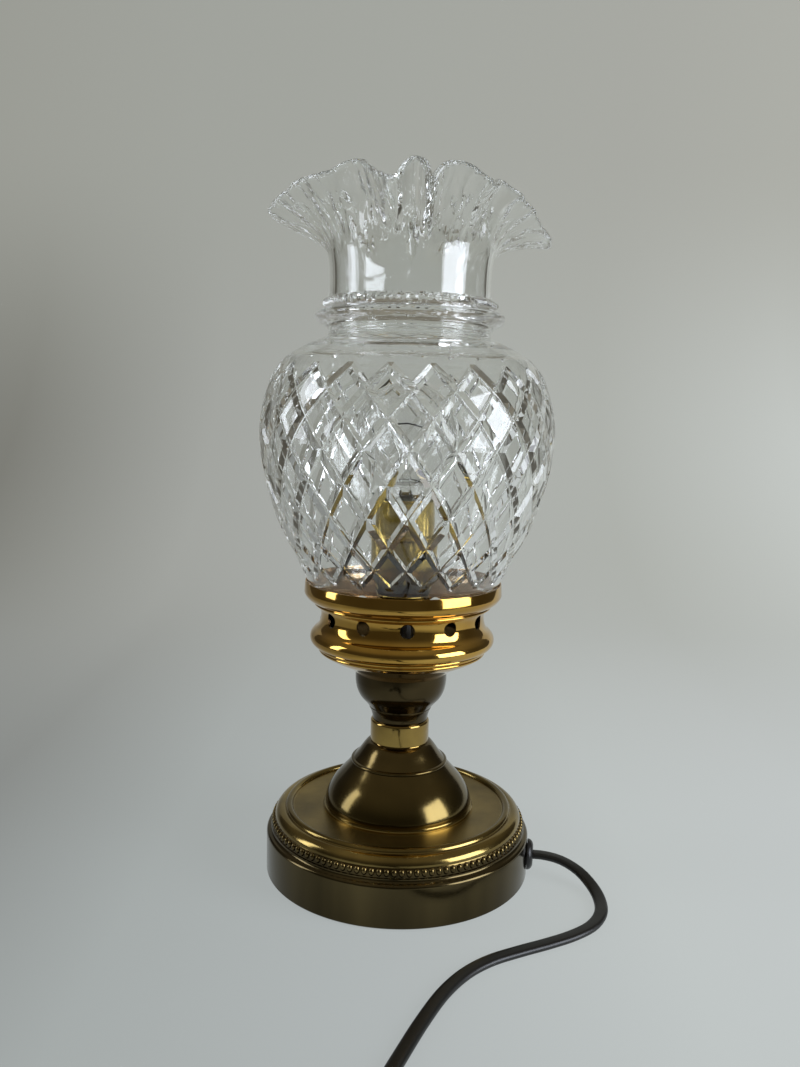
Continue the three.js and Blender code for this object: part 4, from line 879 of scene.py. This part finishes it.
def cut_diamond(row, column):
    """One diamond: its four corners, a polished lozenge and the bevels of the cuts round it."""
    north, south, middle = row_height(row - 1), row_height(row + 1), row_height(row)
    grid = []
    for j, v in enumerate(lines):
        grid.append([])
        for i, u in enumerate(lines):
            across = column + (u - v)
            z = (
                (1 - u) * (1 - v) * south
                + u * v * north
                + (u * (1 - v) + (1 - u) * v) * middle
            )
            in_low_cut = min(i, j) <= 1 and row < last_row
            in_high_cut = max(i, j) >= cut_grid - 1 and row > 0
            at_side = min(i, j) <= 1 and max(i, j) >= cut_grid - 1
            deep = in_low_cut or in_high_cut or at_side
            grid[j].append(cut_vertex(across, z, cut_depth if deep else 0.0))
    for j in range(cut_grid):
        for i in range(cut_grid):
            a, b, c, d = grid[j][i], grid[j][i + 1], grid[j + 1][i + 1], grid[j + 1][i]
            if i + j == cut_grid - 1 and min(i, j) <= 1:
                shade_skin.face(a, b, d)
                shade_skin.face(b, c, d)
            elif (i, j) in ((1, 1), (cut_grid - 2, cut_grid - 2)):
                shade_skin.face(a, b, c)
                shade_skin.face(a, c, d)
            else:
                shade_skin.face(a, b, c, d)


def end_triangle(column, tip_row, upward):
    """The plain glass between two diamonds at the edge of the cutting, as a fan of rows."""
    tip = row_height(tip_row)
    flat = above_cuts if upward else below_cuts
    rows = []
    for k, share in enumerate(lines):
        z = tip + (flat - tip) * share
        rows.append(
            [
                cut_vertex(
                    column + share * (2 * i / max(k, 1) - 1), z, cut_depth if k <= 1 else 0.0
                )
                for i in range(k + 1)
            ]
        )
    for k in range(cut_grid):
        for i in range(k + 1):
            triangle = [rows[k][i], rows[k + 1][i + 1], rows[k + 1][i]]
            shade_skin.face(*(triangle if upward else reversed(triangle)))
            if i < k:
                triangle = [rows[k][i], rows[k][i + 1], rows[k + 1][i + 1]]
                shade_skin.face(*(triangle if upward else reversed(triangle)))
    return rows[-1]


for row in range(len(cut_rows)):
    for column in range(2 * diamonds):
        if (row + column) % 2 == 0:
            cut_diamond(row, column)
top_ring, bottom_ring = [], []
for column in range(2 * diamonds):
    if column % 2 == 1:
        top_ring += end_triangle(column, 0, True)[:-1]
    if (last_row + column) % 2 == 1:
        bottom_ring += end_triangle(column, last_row, False)[:-1]
ring_size = len(top_ring)
ring_angles, bottom_angles = [
    [math.atan2(shade_skin.points[v].x, -shade_skin.points[v].y) for v in ring]
    for ring in (top_ring, bottom_ring)
]

# The neck above the cutting: fine rings in the waist, a swelling, and the beaded collar.
bead_count = 66
neck_outline = [
    (jar_radius(230.2), 230.2),
    (jar_radius(232.0), 232.0),
    (jar_radius(233.6), 233.6),
    (jar_radius(234.8), 234.8),
    *[
        (r + 0.16 * math.cos(2 * math.pi * i / 5), z)
        for i, (r, z) in enumerate(
            eased([(35.2, 235.4), (34.5, 236.6), (34.5, 238.2), (35.4, 239.8)], 20)
        )
    ],
    *eased(
        [(36.6, 240.6), (38.8, 241.8), (40.1, 243.3), (40.3, 244.6), (39.0, 246.0), (36.4, 246.9)],
        18,
    ),
    (35.0, 247.2),
]
collar_outline = arc(34.6, 249.5, 1.7, -70, 70, 8)
throat = [(34.6, 251.7), (34.4, 253.0), (34.3, 255.5), (34.3, 258.0)]


def round_ring(radius, z, angles):
    return [shade_skin.polar(radius, a, z) for a in angles]


def stacked(below, rings):
    """Joins each ring to the one before it, and gives the last."""
    for above in rings:
        shade_skin.band(below, above)
        below = above
    return below


chance = random.Random(4)
bead_lift = [chance.uniform(0.7, 1.25) for _ in range(bead_count)]
bead_height = 1.4
bead_foot = 34.9
bead_reach = 1.3


def beaded_ring(radius, z):
    """A ring of the collar, which swells at each bead the more the farther out it lies."""
    ring_points = []
    for a in ring_angles:
        place = (a / (2 * math.pi) * bead_count) % bead_count
        swell = abs(math.sin(math.pi * place)) * bead_lift[int(place)]
        r = radius + bead_height * (swell - 0.5) * (radius - bead_foot) / bead_reach
        ring_points.append(shade_skin.polar(r, a, z))
    return ring_points


below = stacked(top_ring, (round_ring(r, z, ring_angles) for r, z in neck_outline))
below = stacked(below, (beaded_ring(r, z) for r, z in collar_outline))
below = stacked(below, (round_ring(r, z, ring_angles) for r, z in throat))

# The ruffle: the flare above the throat, drawn in where it was pinched and let out between.
ruffle_base = 258.0
ruffle_rise = 33.5
ruffle_radius = 49.0
throat_radius = 34.3
rim_thickness = 2.7
flare_power = 2.7
crimp_power = 2.2
pinch_start = 0.36
pinch_length = 0.56
rim_stations = [
    (1, 40.5, 42.3), (4.5, 43, 40.0), (6.3, 47, 34.6), (9.0, 52, 30.6), (11.4, 51, 34.6),
    (15.5, 49, 38.2), (21, 49, 39.2), (30, 51, 36.2), (39, 50, 32.6), (47, 46, 35.4),
    (56, 45, 36.5), (63, 49, 32), (77, 53, 27), (98, 59.5, 17), (121, 53, 27),
    (139, 42, 39), (161, 56, 29), (183, 41, 41), (206, 56, 30), (229, 43, 40),
    (250, 56, 28), (272, 60, 27), (300, 53, 35), (316, 49, 37.2), (324, 42, 41.6),
    (331, 43, 40.8), (339, 49, 36.8), (345, 54, 33.2), (350, 54, 32.2), (354, 49, 33.8),
    (356.5, 44, 39.0),
]
rim_corners = [
    Vector((r * math.sin(math.radians(a)), -r * math.cos(math.radians(a)), h))
    for a, r, h in rim_stations
]
rim_line, _ = smooth_route([*rim_corners[-3:], *rim_corners, *rim_corners[:4]], 0.3)
rim_samples = [(math.atan2(p.x, -p.y), math.hypot(p.x, p.y), p.z) for p in rim_line]


@functools.cache
def rim_at(angle):
    """The rim's radius and height at an angle from the front."""
    angle = math.remainder(angle, 2 * math.pi)
    for (a0, r0, h0), (a1, r1, h1) in zip(rim_samples, rim_samples[1:]):
        if a0 <= angle <= a1 and a1 - a0 < 1:
            share = (angle - a0) / (a1 - a0)
            return r0 + (r1 - r0) * share, h0 + (h1 - h0) * share
    return rim_samples[-1][1:]


# The pinched glass is crumpled a little between the folds, and its wall is uneven: millimetres
# either way, size of a dent round the rim in degrees, and where it starts
crumple = [(2.0, 6.5, 3.0), (0.9, 3.4, 11.0)]
uneven_wall = [(0.9, 4.5, 21.0), (0.4, 2.4, 34.0)]


def dents(angle, share, sizes):
    """Irregular dents that fade out down the flare, a little longer than they are wide."""
    grown = min(1.0, max(0.0, (share - 0.3) / 0.5)) ** 1.5
    total = 0.0
    for size, width, start in sizes:
        across = 1.0 / math.radians(width)
        total += size * noise.noise(
            Vector((math.sin(angle) * across, math.cos(angle) * across, start + 22.0 / width * share))
        )
    return grown * total


def flare_point(angle, share):
    rim_radius, rim_height = rim_at(angle)
    bend = share**flare_power
    crimp = share**crimp_power * (3 - share) / 2 * (0.35 + 0.65 * share)
    drawn = min(1.0, max(0.0, (share - pinch_start) / pinch_length))
    radius = (
        throat_radius
        + (ruffle_radius - throat_radius) * bend
        + (rim_radius - ruffle_radius) * drawn**2 * (3 - 2 * drawn)
        + dents(angle, share, crumple)
    )
    z = ruffle_base + ruffle_rise * share + (rim_height - ruffle_rise) * crimp
    return Vector((radius * math.sin(angle), -radius * math.cos(angle), z))


flare_count = 2 * ring_size
flare_angles = [ring_angles[0] + 2 * math.pi * i / flare_count for i in range(flare_count)]


def flare_ring(share, depth):
    ring_points = []
    for a in flare_angles:
        step = 0.01
        across = flare_point(a + step, share) - flare_point(a - step, share)
        along = flare_point(a, share + step) - flare_point(a, share - step)
        inward = along.cross(across).normalized()
        wall = depth * (1 + dents(a, share, uneven_wall) / rim_thickness)
        ring_points.append(shade_skin.vertex(flare_point(a, share) + inward * wall))
    return ring_points


flare_rows = 34
lip_rows = 8
lip_start = 0.955
for k in range(1, flare_rows + 1):
    above = flare_ring(lip_start * k / flare_rows, 0.0)
    (shade_skin.doubling if k == 1 else shade_skin.band)(below, above)
    below = above
lip = []
for k in range(1, lip_rows):
    bend = math.pi * k / lip_rows
    share = lip_start + (1 - lip_start) * math.sin(bend)
    lip.append((share, rim_thickness * (1 - math.cos(bend)) / 2))
flare_inside = []
for k in range(flare_rows, 0, -1):
    share = lip_start * k / flare_rows
    flare_inside.append((share, glass_wall + (rim_thickness - glass_wall) * share))
below = stacked(below, (flare_ring(share, depth) for share, depth in lip + flare_inside))
inside_outline = [
    (31.1, ruffle_base - 1), (31.1, 253.0), (31.3, 249.0), (32.4, 246.6), (33.6, 244.4),
    (33.2, 241.8), (31.8, 239.0), (31.3, 236.6), (32.4, 234.0), (36.0, 231.6),
    *[(jar_radius(z) - glass_wall, z - 0.8) for z in range(230, 130, -4)],
    (shade_foot_radius - glass_wall, shade_foot + 0.8),
    (shade_foot_radius - glass_wall + 0.8, shade_foot),
    (shade_foot_radius - 0.8, shade_foot), (shade_foot_radius, shade_foot + 0.8),
    (shade_foot_radius, 128.4),
]
for r, z in inside_outline:
    above = round_ring(r, z, ring_angles if z > 131 else bottom_angles)
    (shade_skin.halving if z == ruffle_base - 1 else shade_skin.band)(below, above)
    below = above
shade_skin.band(below, bottom_ring)
shade = plain_mesh(
    "shade_cut_glass", shade_skin.points, shade_skin.faces, glass_cut, 14.0
)
claim(shade, "shade", "glass_shade")

# Lampholder: drawn brass cap and shell screwed together round a brown moulded insulator, with
# a card liner. Only its collar and rim are seen, through the glass.
cap_outline = [
    (rod_hole, 116.0), (6.5, 116.0), (6.9, 116.4), (6.9, 120.6),
    *eased([(7.2, 121.2), (8.4, 122.2), (10.2, 124.2), (10.8, 125.8)], 8),
    *arc(11.0, 126.5, 0.6, -60, 60, 4),
    *eased([(11.4, 127.2), (12.6, 129.6), (13.5, 132.4), (14.1, 135.4), (14.4, 138.0)], 12),
    (14.4, 150.6), (14.0, 151.0), (13.7, 150.8), (13.7, 137.5), (11.8, 130.4), (7.4, 122.8),
    (rod_hole, 122.0),
]
brass_satin = polished_brass("satin_drawn_brass", "#AE954D", "#D2B869", 0.16, 0.26)
holder_cap = turned_mesh("holder_cap_drawn", cap_outline, brass_satin, 96)
holder_outline = [
    (13.1, 144.5), (13.1, 151.0), (14.6, 151.0),
    *arc(14.5, 151.6, 0.55, -80, 80, 5),
    (13.5, 152.3), (13.1, 152.9), (13.1, 166.4),
    *arc(12.95, 167.3, 0.6, -60, 150, 7),
    (12.4, 166.8), (12.4, 144.5),
]
holder_shell = turned_mesh("holder_shell_drawn", holder_outline, brass_satin, 96)
claim(holder_cap, "lamp", "holder_cap")
claim(holder_shell, "lamp", "holder_shell")

# Bulb: a clear round bulb, blown thin, with a nickel-plated screw cap. Its thread is rolled
# into the cap; the stem, leads and filament are held inside.
bulb_clear = clear_glass("bulb_glass_clear", "#FEFEFE", 1.5)
cap_top = 166.0
globe_radius = 22.5
globe_centre = cap_top + 52.0 - globe_radius
neck_angle = -math.degrees(math.acos(8.8 / globe_radius))
globe_outline = [
    (7.1, cap_top - 1.2), (7.3, cap_top + 0.6),
    *eased(
        [(7.5, cap_top + 2.0), *arc(0, globe_centre, globe_radius, neck_angle, neck_angle + 12, 2)],
        8,
    ),
    *arc(0, globe_centre, globe_radius, neck_angle + 16, 89, 26),
    (0, globe_centre + globe_radius),
]
globe_inside = [
    (0, globe_centre + globe_radius - 0.8),
    *arc(0, globe_centre, globe_radius - 0.8, 88, neck_angle - 1, 28),
    (6.8, cap_top + 3.0), (6.6, cap_top + 1.0), (6.4, cap_top - 1.2),
]
globe = turned_mesh("bulb_globe", [*globe_outline, *globe_inside], bulb_clear, 96)
claim(globe, "bulb", "bulb_glass")


def dressed_wire_metal(name, tone, roughness):
    """Plated or drawn metal with a fine even grain."""
    made, tree, shader, place = start_material(
        name, **{"Base Color": linear(tone), "Metallic": 1.0}
    )
    grain = grain_of(tree, place, 700.0, 3.0)
    roughen(tree, shader, grain, roughness - 0.06, roughness + 0.08)
    return made


nickel_plate = dressed_wire_metal("nickel_plate", "#BDBCB6", 0.24)
thread_pitch = 2.8
cap_profile = [(5.3, 145.0), (6.3, 145.8)]
z = 146.4
while z < 161.0:
    cap_profile += [(6.55, z), (6.95, z + thread_pitch / 2)]
    z += thread_pitch
cap_profile += [
    (6.7, 161.6), (6.9, 163.0), (8.0, 164.6), (8.0, cap_top), (7.5, cap_top), (7.5, 164.8),
    (6.4, 162.8), (6.2, 146.6), (4.6, 145.6), (4.6, 145.0),
]
screw_cap = turned_mesh("bulb_screw_cap", cap_profile, nickel_plate, 64, 50.0)
claim(screw_cap, "bulb", "bulb_cap")


# Bushing: a snap-in dome of black moulded nylon where the flex comes out of the skirt. Its
# outline is turned round the flex's own axis and then laid in the skirt.
def moulded_black(name, tone, roughness, grain_size):
    """Moulded plastic with the fine spark-eroded grain of its mould."""
    made, tree, shader, place = start_material(
        name, **{"Base Color": linear(tone), "IOR": 1.5, "Roughness": roughness}
    )
    emboss(tree, shader, grain_of(tree, place, 1000.0 / grain_size, 2.0), 0.2, 0.0001)
    return made


nylon_black = moulded_black("moulded_nylon_black", "#161616", 0.34, 0.8)
bushing_outline = [
    (3.2, 55.5), (5.4, 55.5), (6.2, 57.3), (4.7, 57.3), (4.7, bushing_face),
    (6.6, bushing_face),
    *eased([(6.7, 59.4), (6.4, 60.4), (5.6, 61.2), (4.4, 61.7), (3.6, 61.75)], 10),
    (3.2, 61.5),
]
bushing = turned_mesh("flex_bushing", bushing_outline, nylon_black, 64)
bushing.data.transform(
    Matrix.Rotation(flex_angle, 4, "Z")
    @ Matrix.Translation((0.0, 0.0, flex_height * mm))
    @ Matrix.Rotation(math.pi / 2, 4, "Y")
)
claim(bushing, "lamp", "cord_bushing")


# In-line switch, rocker and plug: the frame's own shapes with their edges rounded as a mould
# rounds them. An edge counts as one where the faces turn by more than this, in radians.
sharp_angle = 0.35


def softened(name, node, radius, material, body="lamp"):
    """A copy of a frame node of black plastic, its flat faces merged and its edges rounded."""
    mesh = nodes[node].data.copy()
    work = bmesh.new()
    work.from_mesh(mesh)
    bmesh.ops.remove_doubles(work, verts=work.verts, dist=0.00001)
    bmesh.ops.dissolve_limit(
        work, angle_limit=math.radians(3), verts=work.verts, edges=work.edges
    )
    sharp = [
        edge
        for edge in work.edges
        if len(edge.link_faces) == 2 and edge.calc_face_angle() > sharp_angle
    ]
    bmesh.ops.bevel(
        work,
        geom=sharp,
        offset=radius * mm,
        segments=3,
        profile=0.5,
        affect="EDGES",
        clamp_overlap=True,
    )
    bmesh.ops.remove_doubles(work, verts=work.verts, dist=0.000005)
    work.to_mesh(mesh)
    work.free()
    mesh.name = name
    mesh.materials.clear()
    mesh.materials.append(material)
    made = shown(name, mesh, 40.0)
    claim(made, body, node)
    return made


switch_lower = softened("switch_lower_half", "switch_base", 0.4, nylon_black)
switch_upper = softened("switch_upper_half", "switch_cover", 0.4, nylon_black)
rocker_black = moulded_black("moulded_rocker_black", "#1E1E1E", 0.22, 1.2)
rocker = softened("rocker_moulded", "switch_rocker", 0.5, rocker_black, "rocker")
plug = softened("plug_moulded", "plug_body", 0.7, nylon_black)


# What stays as the frame has it gets its own finish: felt, cast slug, rod, nuts and washers,
# the lampholder's inside, the wires and the plug's pins.
def repaint(material, *names):
    for name in names:
        mesh = nodes[name].data
        mesh.materials.clear()
        mesh.materials.append(material)


def speckled(name, scale, detail, dark, light, rise, **shader_inputs):
    """A rough material of many grains, whose tone and height go up and down with them."""
    made, tree, shader, place = start_material(name, **shader_inputs)
    grain = grain_of(tree, place, scale, detail)
    tree.links.new(toned(tree, grain, ((0.0, dark), (1.0, light))), shader.inputs["Base Color"])
    if rise > 0:
        emboss(tree, shader, grain, rise, 0.0004)
    return made


# pressed wool felt is matte with a short tangled nap, grey iron comes dark and grainy from its
# sand mould, and press board shows its short fibres
felt_finish = {"Roughness": 0.95, "Sheen Weight": 0.5, "Sheen Roughness": 0.4}
iron_finish = {"Metallic": 0.7, "Roughness": 0.62}
wool_felt = speckled("green_wool_felt", 1200.0, 6.0, "#1D2B21", "#3C5142", 0.6, **felt_finish)
cast_iron = speckled("sand_cast_iron", 600.0, 6.0, "#2C2B2A", "#4B4946", 0.8, **iron_finish)
press_board = speckled("press_board", 900.0, 5.0, "#5C5142", "#75694F", 0.0, Roughness=0.85)
repaint(wool_felt, "felt_pad")
repaint(cast_iron, "base_weight")
repaint(press_board, "holder_liner")
repaint(moulded_black("brown_phenolic", "#2E1E16", 0.25, 1.5), "holder_insulator")
repaint(
    dressed_wire_metal("zinc_plate", "#A3A6A8", 0.36),
    "threaded_rod",
    "rod_washer",
    "lock_washer",
    "holder_grub_screw",
    "switch_screw_far",
    "switch_screw_near",
)
repaint(
    brass_polished,
    "rod_nut",
    "gallery_washer",
    "gallery_nut",
    "screw_shell",
    "centre_contact",
    "terminal_screw_live",
    "terminal_screw_neutral",
    "switch_contact",
)
repaint(nickel_plate, "bulb_tip", "bulb_lead_left", "bulb_lead_right")
repaint(nickel_plate, "plug_pin_left", "plug_pin_right")
repaint(dressed_wire_metal("drawn_tungsten", "#6C6C6E", 0.4), "bulb_filament")
# the stem is a thin flared tube, which hardly bends what is seen through it
repaint(clear_glass("stem_tube_glass", "#FAFBFA", 1.12), "bulb_stem")
repaint(nylon_black, "bulb_base_insulator")
repaint(flex_black, "inner_flex", "core_live", "core_neutral")


# Backdrop: one pale sheet of paper, flat under the lamp and swept up behind it, with painted
# light and shade in its glow: lighter on the right where the window is and falling into painted
# shade at its front edge. The eye, the brass and the glass all see the same tones of it.
own_light = 0.76


def paper():
    """Matte paper that glows with painted tones, painted light and painted shade, by the given part, and
    is lit by daylight for the rest.
    """
    made = bpy.data.materials.new("backdrop_paper")
    made.use_nodes = True
    tree = made.node_tree
    tree.nodes.clear()
    place = add(tree, "ShaderNodeTexCoord").outputs["Object"]
    split = add(tree, "ShaderNodeSeparateXYZ", {"Vector": place})

    def across(left, right, colours):
        share = ranged(tree, split.outputs["X"], {"From Min": left, "From Max": right})
        stops = [(i / (len(colours) - 1), colour) for i, colour in enumerate(colours)]
        return toned(tree, share, stops)

    def blend(low, high, axis, low_colour, high_colour):
        limits = {"From Min": low, "From Max": high}
        share = ranged(tree, split.outputs[axis], limits, interpolation_type="SMOOTHSTEP")
        sides = {"Factor": share, "A": low_colour, "B": high_colour}
        return add(tree, "ShaderNodeMix", sides, data_type="RGBA").outputs["Result"]

    # painted light and shade: the paper's glow is lighter on the right towards the window, darker on the
    # left, and falls off into painted shade at the front
    near = across(-0.22, 0.22, ["#909391", "#B0B6B5", "#BCC2C2", "#CBD1D0", "#CFD4D4"])
    far = across(-0.5, 0.5, ["#86867F", "#AEB0AB", "#B6B9B5", "#B9BCB6", "#CFD3CF"])
    top = across(-0.6, 0.6, ["#A6A79F", "#ACAEA7", "#AFB1AA", "#B2B3AC", "#B9BAB2"])
    wall = blend(0.1, 0.56, "Z", far, top)
    front = across(-0.3, 0.3, ["#6C6E69", "#72746F", "#90938F"])
    tone = blend(-0.1, 0.7, "Y", blend(-0.45, -0.17, "Y", front, near), wall)
    rays = add(tree, "ShaderNodeLightPath").outputs
    glow = add(tree, "ShaderNodeEmission", {"Color": tone})
    matte = add(tree, "ShaderNodeBsdfDiffuse", {"Color": tone})
    seen = rays["Is Camera Ray"]
    for kind in ("Is Glossy Ray", "Is Transmission Ray"):
        either = add(tree, "ShaderNodeMath", {0: seen, 1: rays[kind]}, operation="MAXIMUM")
        seen = either.outputs[0]
    part = add(tree, "ShaderNodeMath", {0: seen}, {1: own_light}, operation="MULTIPLY")
    mixed = add(
        tree,
        "ShaderNodeMixShader",
        {0: part.outputs[0], 1: matte.outputs["BSDF"], 2: glow.outputs["Emission"]},
    )
    add(tree, "ShaderNodeOutputMaterial", {"Surface": mixed.outputs["Shader"]})
    return made


sweep_radius = 0.5
sweep_back = 0.95
paper_half_width = 0.8
sheet = [(-0.5, 0.0)]
sheet += [
    (
        sweep_back - sweep_radius + sweep_radius * math.sin(math.radians(4.5 * i)),
        sweep_radius - sweep_radius * math.cos(math.radians(4.5 * i)),
    )
    for i in range(21)
]
sheet.append((sweep_back, 0.9))
paper_points = [Vector((x, y, z)) for y, z in sheet for x in (-paper_half_width, paper_half_width)]
paper_faces = [[2 * i, 2 * i + 1, 2 * i + 3, 2 * i + 2] for i in range(len(sheet) - 1)]
backdrop = plain_mesh("backdrop", paper_points, paper_faces, paper(), 60.0)


# Light: daylight from a tall window on the right in front and a narrower one on the left. The
# room round the sheet is dim with a lighter ceiling, and so brass and glass show the windows as
# clear streaks.
daylight = "#EEF4FF"


def window(name, bearing, distance, low, high, width, brightness):
    """An upright pane of daylight, at a bearing in degrees from the front, towards the lamp."""
    lamp = bpy.data.lights.new(name, "AREA")
    lamp.shape = "RECTANGLE"
    lamp.size = width
    lamp.size_y = high - low
    lamp.energy = brightness * math.pi * width * (high - low)
    lamp.color = linear(daylight)[:3]
    made = bpy.data.objects.new(name, lamp)
    angle = math.radians(bearing)
    made.location = (distance * math.sin(angle), -distance * math.cos(angle), (low + high) / 2)
    made.rotation_euler = (math.pi / 2, 0.0, angle)
    scene.collection.objects.link(made)


window("window_right", 63.0, distance=1.2, low=0.04, high=0.86, width=0.78, brightness=7.2)
window("window_left", -88.0, distance=1.2, low=0.1, high=1.0, width=0.3, brightness=5.2)

world = bpy.data.worlds.new("room")
world.use_nodes = True
scene.world = world
room = world.node_tree
room.nodes.clear()
towards = add(room, "ShaderNodeTexCoord").outputs["Generated"]
towards_parts = add(room, "ShaderNodeSeparateXYZ", {"Vector": towards})
rise = ranged(
    room,
    towards_parts.outputs["Z"],
    {"From Min": 0.2, "From Max": 0.9},
    interpolation_type="SMOOTHSTEP",
)
dim_to_ceiling = toned(room, rise, ((0.0, "#4B4840"), (1.0, "#858073")))
room_light = add(room, "ShaderNodeBackground", {"Color": dim_to_ceiling})
add(room, "ShaderNodeOutputWorld", {"Surface": room_light.outputs["Background"]})

# Light has to pass many faces of the cut glass and its ruffle before it comes out again, and
# with fewer turns than this the facets would go black.
scene.cycles.max_bounces = 40
scene.cycles.transmission_bounces = 40
scene.cycles.glossy_bounces = 24
